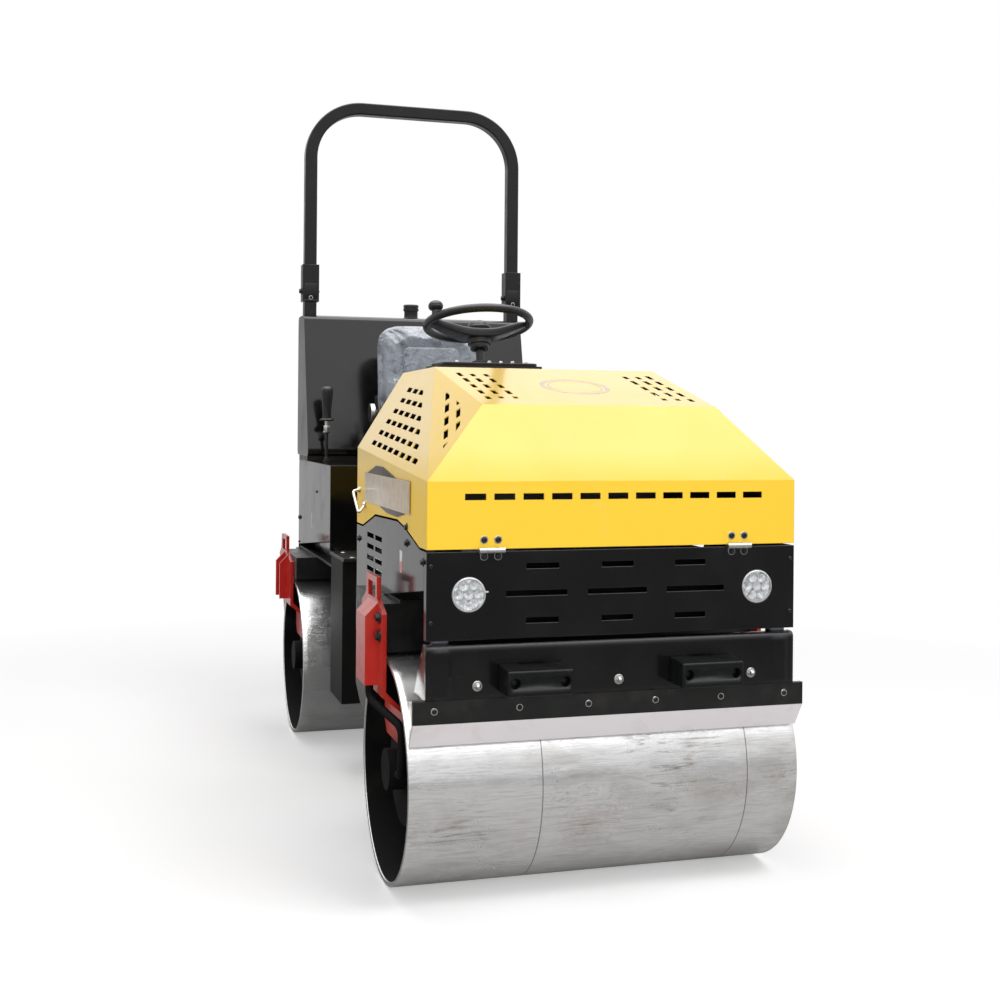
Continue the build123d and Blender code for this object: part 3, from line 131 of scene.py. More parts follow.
class Paint(Graph):
    """A Principled material that is built up in layers, each fed by object coordinates in metres."""

    def __init__(self, name, colour, roughness, metallic=0, specular=0.5):
        self.name = name
        self.material = bpy.data.materials.new(name)
        super().__init__(self.material)
        self.shader = self.tree.nodes["Principled BSDF"]
        self.place = self.add("TexCoord").outputs["Object"]
        self.normal = None
        self.set_colour((*colour, 1))
        self.set_roughness(roughness)
        self.put(self.shader, "Metallic", metallic)
        self.put(self.shader, "Specular IOR Level", specular)

    def set_colour(self, colour):
        self.colour = colour
        self.put(self.shader, "Base Color", colour)
        return self

    def set_roughness(self, roughness):
        self.roughness = roughness
        self.put(self.shader, "Roughness", roughness)
        return self

    def set_normal(self, node):
        self.normal = node.outputs["Normal"]
        self.put(self.shader, "Normal", self.normal)
        return self

    def noise(self, scale, detail=3, roughness=0.5, distortion=0, stretch=(1, 1, 1)):
        """Noise from 0 to 1, in features per metre along each axis."""
        mapping = self.add("Mapping", {"Vector": self.place, "Scale": tuple(scale * s for s in stretch)})
        return self.add("TexNoise", {"Vector": mapping.outputs["Vector"], "Scale": 1, "Detail": detail,
                                     "Roughness": roughness, "Distortion": distortion}).outputs["Fac"]

    def along(self, name, *limits):
        """A coordinate of the object, mapped from one range onto another."""
        return self.window(self.axis(self.place, name), *limits)

    def hairs(self, value, centre, width):
        """1 along the thin lines where a noise crosses a number."""
        return self.window(self.off(value, centre), 0, width, 1, 0)

    def tint(self, colour, mask):
        """Lays another colour over the base where the mask is 1."""
        mix = self.add("Mix", {0: mask, 6: self.colour, 7: (*colour, 1)}, data_type="RGBA")
        return self.set_colour(mix.outputs[2])

    def dull(self, roughness, mask):
        """Changes the roughness where the mask is 1."""
        mix = self.add("Mix", {0: mask, 2: self.roughness, 3: roughness}, data_type="FLOAT")
        return self.set_roughness(mix.outputs[0])

    def bump(self, height, depth):
        """Raises the surface by depth metres where the height is 1."""
        node = self.add("Bump", {"Height": height, "Distance": depth})
        if self.normal:
            self.put(node, "Normal", self.normal)
        return self.set_normal(node)

    def soft_edges(self, radius):
        """Shades the edges of a solid as if they were rounded. It comes before any bump."""
        return self.set_normal(self.add("Bevel", {"Radius": radius}, samples=6))

    def stain(self, colour, spots, start, end, most=1):
        """Lays a colour where a noise, given by its settings, is high."""
        return self.tint(colour, self.window(self.noise(*spots), start, end, 0, most))

    def wear(self, roughness, spots, start, end):
        """Changes the roughness where a noise is high."""
        return self.dull(roughness, self.window(self.noise(*spots), start, end))

    def grain(self, scale, detail, depth):
        """Raises the surface by a noise."""
        return self.bump(self.noise(scale, detail), depth)

    def facing_inward(self, centre):
        """1 on the faces of a shell that look towards its centre, 0 on the others."""
        outward = self.add("VectorMath", {0: self.place, 1: centre}, operation="SUBTRACT").outputs["Vector"]
        normal = self.add("TexCoord").outputs["Normal"]
        along = self.add("VectorMath", {0: outward, 1: normal}, operation="DOT_PRODUCT")
        return self.window(along.outputs["Value"], -0.004, 0, 1, 0)

    def coat(self, weight, roughness):
        self.put(self.shader, "Coat Weight", weight)
        self.put(self.shader, "Coat Roughness", roughness)
        return self


def hood_paint():
    """Yellow powder coat with faint orange peel and dust in broad patches; painted shade darkens the inside, and
    it is glossier high up.
    """
    paint = Paint("hood_paint", (0.88, 0.57, 0.038), 0.38, specular=0.25).soft_edges(0.004).coat(1, 0.12)
    paint.stain((0.84, 0.52, 0.034), (2.2, 4), 0.45, 0.75, 0.6)
    paint.stain((0.8, 0.62, 0.36), (14, 6, 0.65), 0.62, 0.85, 0.35)
    hood_middle = (0.77, 0, 0.95)
    # painted shade: the faces looking into the hood are tinted near-black, so the slots' insides look shaded
    paint.tint((0.03, 0.018, 0.004), paint.facing_inward(hood_middle))
    paint.put(paint.shader, "Coat Weight", paint.along("Z", 1.04, 1.16, 0.1, 1))
    return paint.wear(0.52, (9, 5), 0.4, 0.7).grain(3, 1, 0.0009).grain(420, 2, 0.00005)


def black_panel(name, edge, bend=None):
    """High-gloss black sheet: soft waves in the reflection, dust specks and a thin haze. A panel that is bent at
    its top, at the height given, gets a pale painted highlight along the bend."""
    paint = Paint(name, (0.004, 0.004, 0.0042), 0.09).soft_edges(edge)
    if bend:
        # painted highlight: a pale bluish band at the top bend, standing in for a bright reflection
        paint.tint((0.14, 0.155, 0.18), paint.along("Z", bend - 0.017, bend - 0.009))
    paint.stain((0.009, 0.0085, 0.008), (5, 6, 0.6), 0.5, 0.8, 0.7)
    paint.stain((0.14, 0.12, 0.1), (260, 2), 0.75, 0.79, 0.45)
    return paint.wear(0.24, (7, 5), 0.42, 0.72).grain(4.5, 1, 0.0012).grain(500, 1, 0.00002)


def drum_steel():
    """Ground steel: short scratches along the drum, swirls, two dark seams, stains and a rust bloom."""
    paint = Paint("drum_steel", (0.86, 0.86, 0.865), 0.13, metallic=0.8)
    patches = paint.noise(4.2, 5, 0.62)
    fine = paint.noise(1, 6, 0.7, 0.4, stretch=(210, 12, 210))
    paint.tint((0.62, 0.62, 0.63), paint.window(fine, 0.48, 0.66, 0, 0.7))
    dark_hairs = paint.hairs(paint.noise(1, 4, 0.6, 2.6, stretch=(42, 16, 42)), 0.5, 0.012)
    dark_zones = paint.window(paint.noise(7, 4), 0.46, 0.6, 0, 0.85)
    paint.tint((0.26, 0.25, 0.24), paint.times(dark_hairs, dark_zones))
    light_hairs = paint.hairs(paint.noise(1, 3, 0.5, 3.4, stretch=(95, 30, 95)), 0.48, 0.01)
    light_zones = paint.window(paint.noise(5, 3), 0.48, 0.62, 0, 0.7)
    paint.tint((0.86, 0.86, 0.87), paint.times(light_hairs, light_zones))
    grime = paint.window(patches, 0.5, 0.66)
    streaks = paint.window(paint.noise(1, 5, 0.68, 0.8, stretch=(90, 7, 90)), 0.52, 0.64, 0, 0.85)
    paint.tint((0.23, 0.2, 0.17), paint.times(streaks, grime))
    paint.stain((0.46, 0.43, 0.38), (1, 4, 0.6, 0.5, (9, 4, 9)), 0.48, 0.66, 0.35)
    bloom = paint.window(paint.noise(2.6, 3), 0.66, 0.76)
    paint.tint((0.42, 0.25, 0.15), paint.times(bloom, paint.window(fine, 0.42, 0.62, 0.1, 0.5)))
    for seam in (-0.185, 0.385):
        distance = paint.off(paint.axis(paint.place, "Y"), seam)
        paint.tint((0.05, 0.045, 0.04), paint.window(distance, 0.0006, 0.0016, 0.85, 0))
    paint.dull(0.32, paint.window(patches, 0.4, 0.66))
    paint.dull(0.28, paint.window(fine, 0.44, 0.62, 0, 0.6))
    return paint.bump(fine, 0.0001).bump(dark_hairs, 0.00008)


def seat_vinyl():
    """Grey vinyl under a thin, clouded plastic film: dark where the film clings, with painted highlights along its
    folds.
    """
    paint = Paint("seat_vinyl", (0.27, 0.295, 0.34), 0.4).coat(0.8, 0.16)
    cling = paint.noise(13, 6, 0.62, 0.8)
    paint.tint((0.06, 0.072, 0.09), paint.window(cling, 0.5, 0.66, 0, 0.85))
    folds_and_glints = paint.hairs(paint.noise(1, 4, 0.6, 2.2, stretch=(16, 16, 30)), 0.5, 0.022)
    # painted highlight: pale glints along the film's folds; the same folds are also raised as bumps
    paint.tint((0.62, 0.65, 0.7), paint.times(folds_and_glints, paint.window(cling, 0.4, 0.6, 0.35, 0.9)))
    paint.stain((0.05, 0.06, 0.07), (150, 3), 0.66, 0.72, 0.6)
    return paint.bump(folds_and_glints, 0.0012).grain(1100, 2, 0.0001)


def lamp_glass():
    """A clear lens with fine crossed flutes."""
    paint = Paint("lamp_glass", (0.97, 0.98, 0.99), 0.04)
    paint.put(paint.shader, "Transmission Weight", 1)
    paint.put(paint.shader, "IOR", 1.4)
    flutes = paint.noise(1, 2, 0.5, 0.6, stretch=(200, 330, 130))
    return paint.bump(paint.window(paint.off(flutes, 0.5), 0, 0.12), 0.0006)


def sticker():
    """A bare printed-film sticker; the lower half of the front panel's is red."""
    paint = Paint("sticker", (0.74, 0.72, 0.7), 0.4)
    in_front = paint.along("X", 0, 0.1)
    lower_half = paint.along("Z", 0.8575, 0.8585, 1, 0)
    paint.tint((0.6, 0.2, 0.18), paint.times(in_front, lower_half))
    return paint.stain((0.5, 0.48, 0.46), (60, 3), 0.5, 0.65, 0.6).grain(900, 2, 0.00003)


PAINTS = [
    hood_paint(),
    black_panel("black_panel", 0.003),
    black_panel("lower_panel", 0.016, high("rear_lower_panel").z),
    drum_steel(),
    seat_vinyl(),
    lamp_glass(),
    sticker(),
    # satin black paint on thick plate, with dust on it
    Paint("black_frame", (0.006, 0.006, 0.006), 0.32, specular=0.45).soft_edges(0.003)
    .stain((0.03, 0.027, 0.024), (8, 6, 0.65), 0.5, 0.8, 0.6)
    .wear(0.5, (30, 4), 0.4, 0.7).grain(900, 2, 0.00006),
    # dull black paint on the wide post between the drums
    Paint("matte_frame", (0.005, 0.005, 0.005), 0.55, specular=0.15).soft_edges(0.003)
    .stain((0.014, 0.012, 0.01), (8, 6, 0.65), 0.5, 0.8, 0.6).grain(900, 2, 0.00006),
    # satin powder coat on the hoop, finely pebbled
    Paint("black_tube", (0.005, 0.005, 0.0055), 0.25, specular=0.45).soft_edges(0.003)
    .wear(0.38, (14, 5), 0.4, 0.7).grain(700, 2, 0.00005),
    # gloss red-orange paint with a few chips and darker grime
    Paint("red_paint", (0.47, 0.01, 0.006), 0.34, specular=0.3).soft_edges(0.0035)
    .stain((0.56, 0.04, 0.02), (6, 3), 0.4, 0.7, 0.8)
    .stain((0.04, 0.012, 0.01), (55, 4, 0.6), 0.72, 0.77, 0.7)
    .wear(0.5, (24, 5), 0.5, 0.75).grain(350, 2, 0.00006).coat(0.6, 0.14),
    Paint("zinc", (0.66, 0.66, 0.64), 0.3, metallic=1)
    .stain((0.42, 0.4, 0.36), (160, 4), 0.5, 0.75, 0.7)
    .wear(0.5, (300, 3), 0.4, 0.7).grain(1500, 2, 0.00003),
    Paint("black_plastic", (0.009, 0.009, 0.01), 0.3)
    .wear(0.42, (60, 4), 0.4, 0.7).grain(1800, 2, 0.00008),
    Paint("rubber", (0.006, 0.0065, 0.007), 0.3, specular=0.2)
    .stain((0.03, 0.03, 0.029), (45, 6, 0.7), 0.55, 0.85, 0.7)
    .wear(0.38, (50, 4), 0.35, 0.65).grain(700, 3, 0.00012),
    # the scraper strips, slightly pink and stained
    Paint("white_plastic", (0.6, 0.565, 0.585), 0.42)
    .stain((0.48, 0.44, 0.4), (9, 5, 0.6, 0.4), 0.52, 0.75, 0.75)
    .stain((0.3, 0.24, 0.16), (26, 5, 0.6), 0.7, 0.8, 0.6).grain(220, 3, 0.0001),
    # black, dusty paint inside the drums, made darker than the other black paints as painted shade; the bearings,
    # drum ends and radiator core take it too
    Paint("painted_shade_black", (0.0035, 0.0035, 0.0035), 0.7, specular=0.12)
    .stain((0.012, 0.011, 0.01), (12, 5), 0.5, 0.8).grain(200, 3, 0.0002),
    Paint("engine_grey", (0.06, 0.06, 0.065), 0.55, metallic=0.2)
    .stain((0.12, 0.11, 0.1), (16, 5), 0.4, 0.7).grain(260, 4, 0.0004),
    # bright vacuum-metallised plastic
    Paint("chrome", (0.93, 0.94, 0.95), 0.28, metallic=0.85)
    .stain((0.66, 0.67, 0.68), (240, 3), 0.5, 0.68)
    .wear(0.42, (90, 3), 0.45, 0.7).grain(260, 2, 0.0005),
    # the pale phosphor of a lamp's diode
    Paint("diode", (0.6, 0.6, 0.56), 0.4).stain((0.5, 0.47, 0.34), (900, 2), 0.4, 0.6),
    # pale lacquered aluminium
    Paint("badge_plate", (0.56, 0.46, 0.33), 0.34, metallic=0.15)
    .stain((0.44, 0.36, 0.27), (30, 4), 0.45, 0.75).grain(600, 2, 0.00003).coat(0.3, 0.1),
    Paint("badge_backing", (0.03, 0.01, 0.008), 0.3, specular=0.3)
    .stain((0.05, 0.03, 0.024), (18, 4), 0.4, 0.7).grain(500, 2, 0.00003),
]
MATERIALS = {paint.name: paint.material for paint in PAINTS}

# nodes that don't take the material named after their slot
OWN_MATERIAL = {"hood_shell": "hood_paint", "front_lower_panel": "lower_panel", "rear_lower_panel": "lower_panel",
                "rear_post": "matte_frame"}
# the drum bearings take the near-black material that paints the shade inside the drums
OWN_MATERIAL.update({f"{end}_bearing_{hand}": "painted_shade_black" for end in ("front", "rear") for hand in SIDES})


def dress_frame():
    """Gives every carried-over node its material."""
    for name, node in NODES.items():
        material = MATERIALS[OWN_MATERIAL.get(name, SLOT_OF[name])]
        for place in node.material_slots:
            place.material = material
        if not node.material_slots:
            node.data.materials.append(material)


# ------ mesh building
def across(normal):
    """A unit normal and two directions square to it, the first of them level."""
    normal = Vector(normal).normalized()
    level = Vector(UP).cross(normal)
    level = level.normalized() if level.length > 1e-4 else Vector(AHEAD)
    return normal, level, normal.cross(level)


def angles(count, start=0):
    """Evenly spaced angles round a circle."""
    return [start + 2 * math.pi * k / count for k in range(count)]


def loft(bm, rings, capped=True, material=0):
    """Joins closed rings of points with faces, and closes the ends unless asked not to."""
    rows = [[bm.verts.new(point) for point in ring] for ring in rings]
    count = len(rows[0])
    faces = []
    for first, second in zip(rows, rows[1:]):
        for k in range(count):
            n = (k + 1) % count
            faces.append(bm.faces.new((first[k], first[n], second[n], second[k])))
    if capped:
        faces += [bm.faces.new(rows[0][::-1]), bm.faces.new(rows[-1])]
    for face in faces:
        face.material_index = material


def lathe(bm, place, normal, profile, sides, material=0, turn=0):
    """A turned form. The profile's rows are (distance along the normal, radius)."""
    normal, level, up = across(normal)
    spokes = [math.cos(angle) * level + math.sin(angle) * up for angle in angles(sides, turn)]
    rings = [[Vector(place) + normal * along + spoke * radius for spoke in spokes] for along, radius in profile]
    loft(bm, rings, material=material)


def ring_turn(bm, place, normal, profile, sides):
    """A turned ring: the profile is a closed loop of (distance along the normal, radius)."""
    normal, level, up = across(normal)
    rings = [[Vector(place) + normal * along + (math.cos(a) * level + math.sin(a) * up) * radius
              for along, radius in profile] for a in angles(sides)]
    loft(bm, rings + rings[:1], capped=False)


def round_corners(points, radius, steps):
    """A route with its corners rounded."""
    route = [points[0]]
    for before, corner, after in zip(points, points[1:], points[2:]):
        reach = min(radius, (corner - before).length / 2, (after - corner).length / 2)
        start = corner + (before - corner).normalized() * reach
        end = corner + (after - corner).normalized() * reach
        for k in range(steps + 1):
            t = k / steps
            route.append((1 - t) ** 2 * start + 2 * t * (1 - t) * corner + t * t * end)
    return route + [points[-1]]


def tube(bm, route, radius, sides):
    """A round bar along a route."""
    direction, level, up = across(route[1] - route[0])
    rings = []
    for k, point in enumerate(route):
        ahead = route[min(k + 1, len(route) - 1)] - route[max(k - 1, 0)]
        turn = direction.rotation_difference(ahead.normalized())
        direction, level, up = ahead.normalized(), turn @ level, turn @ up
        rings.append([point + radius * (math.cos(a) * level + math.sin(a) * up) for a in angles(sides)])
    loft(bm, rings)


def round_edges(bm, verts_or_faces, radius, segments):
    """Rounds the sharp edges of some vertices or faces."""
    edges = {edge for element in verts_or_faces for edge in
             (element.link_edges if isinstance(element, bmesh.types.BMVert) else element.edges)}
    sharp = [edge for edge in edges if edge.calc_face_angle(0) > math.radians(20)]
    bmesh.ops.bevel(bm, geom=sharp, offset=radius, segments=segments, profile=0.5, affect="EDGES",
                    clamp_overlap=True)


def rounded_block(bm, below, above, radius, segments):
    """A block between two corners, its edges rounded."""
    verts = bmesh.ops.create_cube(bm, size=1)["verts"]
    for vert in verts:
        vert.co = Vector(start if c < 0 else end for c, start, end in zip(vert.co, below, above))
    bmesh.ops.recalc_face_normals(bm, faces=list({face for vert in verts for face in vert.link_faces}))
    round_edges(bm, verts, radius, segments)


def plate(bm, outline, depth, radius=0):
    """A flat shape with a thickness, its edges rounded."""
    face = bm.faces.new([bm.verts.new(point) for point in outline])
    made = bmesh.ops.extrude_face_region(bm, geom=[face])["geom"]
    verts = [item for item in made if isinstance(item, bmesh.types.BMVert)]
    bmesh.ops.translate(bm, vec=depth, verts=verts)
    faces = {f for vert in verts for f in vert.link_faces} | {face}
    bmesh.ops.recalc_face_normals(bm, faces=list(faces))
    if radius:
        round_edges(bm, faces, radius, 2)


def rounded_outline(half_width, half_height, radius, steps=4):
    """A rectangle with round corners, as (across, up) points."""
    points = []
    for quarter, (a, b) in enumerate(((1, 1), (-1, 1), (-1, -1), (1, -1))):
        for k in range(steps + 1):
            angle = (quarter + k / steps) * math.pi / 2
            points.append((a * (half_width - radius) + radius * math.cos(angle),
                           b * (half_height - radius) + radius * math.sin(angle)))
    return points


def piece(name, bm, body, slot, materials=None, smooth=35, replaces=()):
    """Makes the finished object: smooth shaded up to an angle, with its materials and body; without a list of
    materials it takes the one named by its slot.
    """
    bmesh.ops.remove_doubles(bm, verts=bm.verts, dist=1e-6)
    bmesh.ops.recalc_face_normals(bm, faces=bm.faces)
    for face in bm.faces:
        face.smooth = True
    for edge in bm.edges:
        edge.smooth = edge.calc_face_angle(0) < math.radians(smooth)
    mesh = bpy.data.meshes.new(name)
    bm.to_mesh(mesh)
    bm.free()
    made = bpy.data.objects.new(name, mesh)
    bpy.context.collection.objects.link(made)
    for material in materials or [slot]:
        mesh.materials.append(MATERIALS[material])
    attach(made, body)
    if replaces:
        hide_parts(*replaces)
    return made


def apply_modifiers(made):
    """Replaces an object's mesh by what its modifiers make of it."""
    graph = bpy.context.evaluated_depsgraph_get()
    graph.update()
    mesh = bpy.data.meshes.new_from_object(made.evaluated_get(graph), depsgraph=graph)
    made.modifiers.clear()
    made.data = mesh


# ------ fasteners
def scaled(size, *profile):
    return [(size * along, size * radius) for along, radius in profile]


def hex_bolt(bm, place, normal, size):
    """A washer and a hex head with a chamfered rim; size is the head's radius."""
    lathe(bm, place, normal, scaled(size, (0, 1.5), (0.16, 1.5), (0.22, 1.44)), 24)
    lathe(bm, place, normal, scaled(size, (0.2, 1), (0.85, 1), (1, 0.86)), 6, turn=0.3 + 7 * place[2])


def button_bolt(bm, place, normal, size):
    """A low domed head with a hex socket."""
    lathe(bm, place, normal, scaled(size, (0, 1), (0.18, 1), (0.42, 0.88), (0.6, 0.62), (0.64, 0.45),
                                    (0.3, 0.43), (0.3, 0.1)), 24)


def washer(bm, place, normal, size):
    """The bright washer that shows round a dark head."""
    ring_turn(bm, place, normal, scaled(size, (0, 0.9), (0.12, 0.9), (0.12, 1.28), (0.05, 1.34), (0, 1.34)), 28)


def dome_nut(bm, place, normal, size):
    """A cap nut on its washer."""
    lathe(bm, place, normal, scaled(size, (0, 1.5), (0.2, 1.5), (0.26, 1.42)), 24)
    lathe(bm, place, normal, scaled(size, (0.2, 1), (0.95, 1), (1.05, 0.9)), 6)
    lathe(bm, place, normal, scaled(size, (1, 0.82), (1.35, 0.76), (1.7, 0.55), (1.88, 0.28), (1.92, 0.05)), 20)


def fasteners(name, body, kind, size, normal, places, slot="black_frame", washers=None):
    """One kind of fastener at each place. washers is the name and size of the bright washers under them."""
    rows = [(name, kind, size, slot)]
    if washers:
        rows.append((washers[0], washer, washers[1], "zinc"))
    for label, form, radius, look in rows:
        bm = bmesh.new()
        for place in places:
            form(bm, place, normal, radius)
        piece(label, bm, body, look)


HINGE_BOLT_SHIFT = 0.018  # from a hinge's middle to each of its bolts
HOOD_LEAF_Z, FRAME_LEAF_Z = 0.9375, 0.897  # the rows of bolts in the hinges' leaves
PANEL_NUT_YS, PANEL_NUT_Z = (-0.369, 0.005, 0.376), 0.577
SCRAPER_BOLT_YS, SCRAPER_BOLT_Z = (-0.477, -0.258, -0.075, 0.108, 0.292, 0.475), 0.5185
RADIATOR_BOLT_Y, RADIATOR_BOLT_ZS = 0.4885, (0.735, 0.874)
HINGE_BOLT_YS = [side * (HINGE_Y + shift) for side in (-1, 1) for shift in (-HINGE_BOLT_SHIFT, HINGE_BOLT_SHIFT)]


def add_front_fasteners():
    def row(x, ys, z):
        return [(x, y, z) for y in ys]

    ends = (("front", 1, FRONT_FACE), ("rear", -1, REAR_FACE))
    fasteners("hinge_bolts_hood", "hood", button_bolt, 0.0078, AHEAD, row(FRONT_FACE, HINGE_BOLT_YS, HOOD_LEAF_Z),
              washers=("hinge_washers_hood", 0.0078))
    fasteners("hinge_bolts_front", FRONT, hex_bolt, 0.006, AHEAD,
              row(FRONT_FACE, HINGE_BOLT_YS, FRAME_LEAF_Z), washers=("hinge_washers_front", 0.0076))
    for end, way, face in ends:
        fasteners(f"{end}_panel_nuts", f"{end}_frame", dome_nut, 0.0085, (way, 0, 0),
                  row(face, PANEL_NUT_YS, PANEL_NUT_Z), "zinc")
    for end, way, _ in ends:
        fasteners(f"{end}_scraper_bolts", f"{end}_frame", button_bolt, 0.0066, (way, 0, 0),
                  row(way * SCRAPER_FACE, SCRAPER_BOLT_YS, SCRAPER_BOLT_Z),
                  washers=(f"{end}_scraper_washers", 0.0066))
    fasteners("radiator_bolts", FRONT, button_bolt, 0.006, AHEAD,
              [(FRONT_FACE, side * RADIATOR_BOLT_Y, z) for side in (-1, 1) for z in RADIATOR_BOLT_ZS])


# name, body, node whose outer face they sit on, size, and places as x and z
FLANK_BOLTS = [
    ("panel_bolts", FRONT, "front_side_panel_{}", 0.0072,
     [(0.338, 0.868), (0.339, 0.708), (1.015, 0.913), (1.199, 0.882)]),
    ("hood_bolts", "hood", "hood_shell", 0.0072, [(1.013, 0.954)]),
    ("console_bolts", REAR, "console_{}", 0.0072, [(-1.202, 0.825)]),
    ("console_screws", REAR, "console_{}", 0.0042, [(-0.745, 0.955), (-1.215, 0.722)]),
]
# end, name, size, and places as x from the drum's axle and z
BRACKET_BOLTS = [
    ("front", "bracket_bolts", 0.0115, [(0.0115, 0.7075), (0.0115, 0.658)]),
    ("front", "bracket_small_bolts", 0.0075, [(-0.035, 0.5635)]),
    ("rear", "bracket_bolts", 0.0115, [(-0.198, 0.662), (-0.198, 0.61)]),
    ("rear", "bracket_small_bolts", 0.0075, [(-0.16, 0.56)]),
]
BRACKET_FACE = high("front_beam").y + 0.012
HOOP_CLAMP_Z = HOOP_PIVOT_Z - 0.028
FLOOR_BOLT_XS, FLOOR_BOLT_Y = (-0.355, -0.17), 0.43


def add_flank_fasteners():
    for hand, side in SIDES.items():
        for name, body, node, size, places in FLANK_BOLTS:
            lower, upper, _ = extent(node.format(hand))
            y = max(abs(lower.y), abs(upper.y))
            fasteners(f"{name}_{hand}", body, hex_bolt, size, (0, side, 0),
                      [(x, side * y, z) for x, z in places])
        for end, name, size, places in BRACKET_BOLTS:
            axle = middle(f"{end}_drum").x
            fasteners(f"{end}_{name}_{hand}", f"{end}_frame", hex_bolt, size, (0, side, 0),
                      [(axle + x, side * BRACKET_FACE, z) for x, z in places])


def add_cab_fasteners():
    for hand in SIDES:
        lower, upper, centre = extent(f"rops_base_{hand}")
        fasteners(f"hoop_pin_head_{hand}", REAR, hex_bolt, 0.0105, (0, -1, 0),
                  [(centre.x, lower.y, HOOP_PIVOT_Z)])
        fasteners(f"hoop_pin_end_{hand}", REAR, button_bolt, 0.0085, (0, 1, 0),
                  [(centre.x, upper.y, HOOP_PIVOT_Z)])
        fasteners(f"hoop_clamp_{hand}", REAR, button_bolt, 0.0066, AHEAD,
                  [(upper.x, centre.y, HOOP_CLAMP_Z)], washers=(f"hoop_clamp_washer_{hand}", 0.0066))
    fasteners("floor_bolts", REAR, button_bolt, 0.0068, UP,
              [(x, side * FLOOR_BOLT_Y, high("floor_plate").z) for side in (-1, 1) for x in FLOOR_BOLT_XS],
              washers=("floor_washers", 0.0068))


# ------ drums
SHELL_THICKNESS = 0.014
WEB_INSET = 0.135  # from the drum's edge to its black end disc
RIM_ROUNDING = 0.0025
HUB_BOLTS, HUB_BOLT_CIRCLE = 8, 0.135


def add_drum(name):
    """A rolled shell with turned rims, and black end discs with a weld bead, boss and bolts."""
    lower, upper, centre = extent(name)
    radius = (upper.z - lower.z) / 2
    half = (upper.y - lower.y) / 2
    inner = radius - SHELL_THICKNESS
    web = half - WEB_INSET
    edge = RIM_ROUNDING
    profile = [(-web, inner), (-half + edge, inner), (-half, inner + edge), (-half, radius - edge),
               (-half + 0.0008, radius - 0.0008), (-half + edge, radius)]
    outer = profile + [(-half + 0.02, radius), (half - 0.02, radius)] + [(-along, r) for along, r in profile[::-1]]
    shell = bmesh.new()
    ring_turn(shell, centre, (0, 1, 0), outer, 240)
    # the shell's inner faces take the near-black painted-shade material
    for face in shell.faces:
        from_axle = face.calc_center_median() - centre
        if math.hypot(from_axle.x, from_axle.z) < inner + 0.0005:
            face.material_index = 1
    piece(name + "_shell", shell, name, "drum_steel", ["drum_steel", "painted_shade_black"], replaces=(name,))
    ends = bmesh.new()
    disc = inner - 0.0005
    for side in (-1, 1):
        start = centre + Vector((0, side * web, 0))
        lathe(ends, start, (0, side, 0), [(-0.014, disc), (0, disc), (0, 0.103), (0.003, 0.098), (0.021, 0.095),
                                         (0.022, 0.094), (0.022, 0.035), (0.067, 0.035), (0.068, 0.034)], 96)
        bead = [(0, inner), (0, inner - 0.009), (0.004, inner - 0.006), (0.008, inner)]
        ring_turn(ends, start, (0, side, 0), bead, 120)
        for angle in (2 * math.pi * k / HUB_BOLTS + 0.2 for k in range(HUB_BOLTS)):
            spoke = Vector((HUB_BOLT_CIRCLE * math.cos(angle), 0, HUB_BOLT_CIRCLE * math.sin(angle)))
            hex_bolt(ends, start + spoke, (0, side, 0), 0.01)
    # the end discs, weld bead and hub bolts are near-black as painted shade
    piece(name + "_ends", ends, name, "black_frame", ["painted_shade_black"])


# ------ front lamps and rubber blocks
CUP_SPACING = 0.0255  # between the reflector cups of a lamp


def add_lamp(hand):
    """A clear round work lamp: a bright rim, seven reflector cups with their diodes, and a fluted lens."""
    node = f"headlamp_{hand}"
    lower, upper, centre = extent(node)
    radius = (upper.z - lower.z) / 2
    depth = upper.x - lower.x
    place = Vector((upper.x, centre.y, centre.z))
    bowl = bmesh.new()
    lathe(bowl, (lower.x, centre.y, centre.z), AHEAD,
          [(0, radius * 0.7), (0.012, radius - 0.002), (depth - 0.001, radius - 0.001), (depth, radius - 0.003),
           (depth, radius - 0.0045), (depth - 0.012, radius - 0.0055), (depth - 0.013, 0.001)], 64)
    base = place - Vector((0.0125, 0, 0))
    cups = [base] + [base + Vector((0, CUP_SPACING * math.cos(a), CUP_SPACING * math.sin(a))) for a in angles(6)]
    for cup in cups:
        ring_turn(bowl, cup, AHEAD, [(0, 0.0035), (0.004, 0.0085), (0.0095, 0.0118), (0.01, 0.0126),
                                     (0.0092, 0.013), (0, 0.013)], 24)
    if SIDES[hand] < 0:  # only this lamp has a small tab at its rim
        x, y, z = upper.x - 0.002, centre.y + radius + 0.002, centre.z + 0.006
        rounded_block(bowl, (x - 0.001, y - 0.0042, z - 0.0022), (x + 0.002, y + 0.0042, z + 0.0022), 0.0008, 2)
    piece(node + "_bowl", bowl, FRONT, "lamp_glass", ["chrome"], replaces=(node,))
    diodes = bmesh.new()
    for cup in cups:
        lathe(diodes, cup, AHEAD, [(0, 0.0032), (0.0018, 0.003), (0.0026, 0.0018), (0.0028, 0.0003)], 12)
    piece(node + "_diodes", diodes, FRONT, "lamp_glass", ["diode"])
    lens = bmesh.new()
    reach = radius - 0.0048
    dome = [(0.001 + 0.003 * (1 - (k / 10) ** 2), reach * k / 10) for k in range(10, 0, -1)]
    lathe(lens, place - Vector((0.0035, 0, 0)), AHEAD, [(0, reach)] + dome, 64)
    piece(node + "_lens", lens, FRONT, "lamp_glass")


BUMPER_HOLE_SHIFT, BUMPER_HOLE_DEPTH, BUMPER_HOLE_RADIUS = 0.0645, 0.028, 0.0135
BUMPER_NOTCH = Vector((0.013, 0.032, 0.009))  # half its size


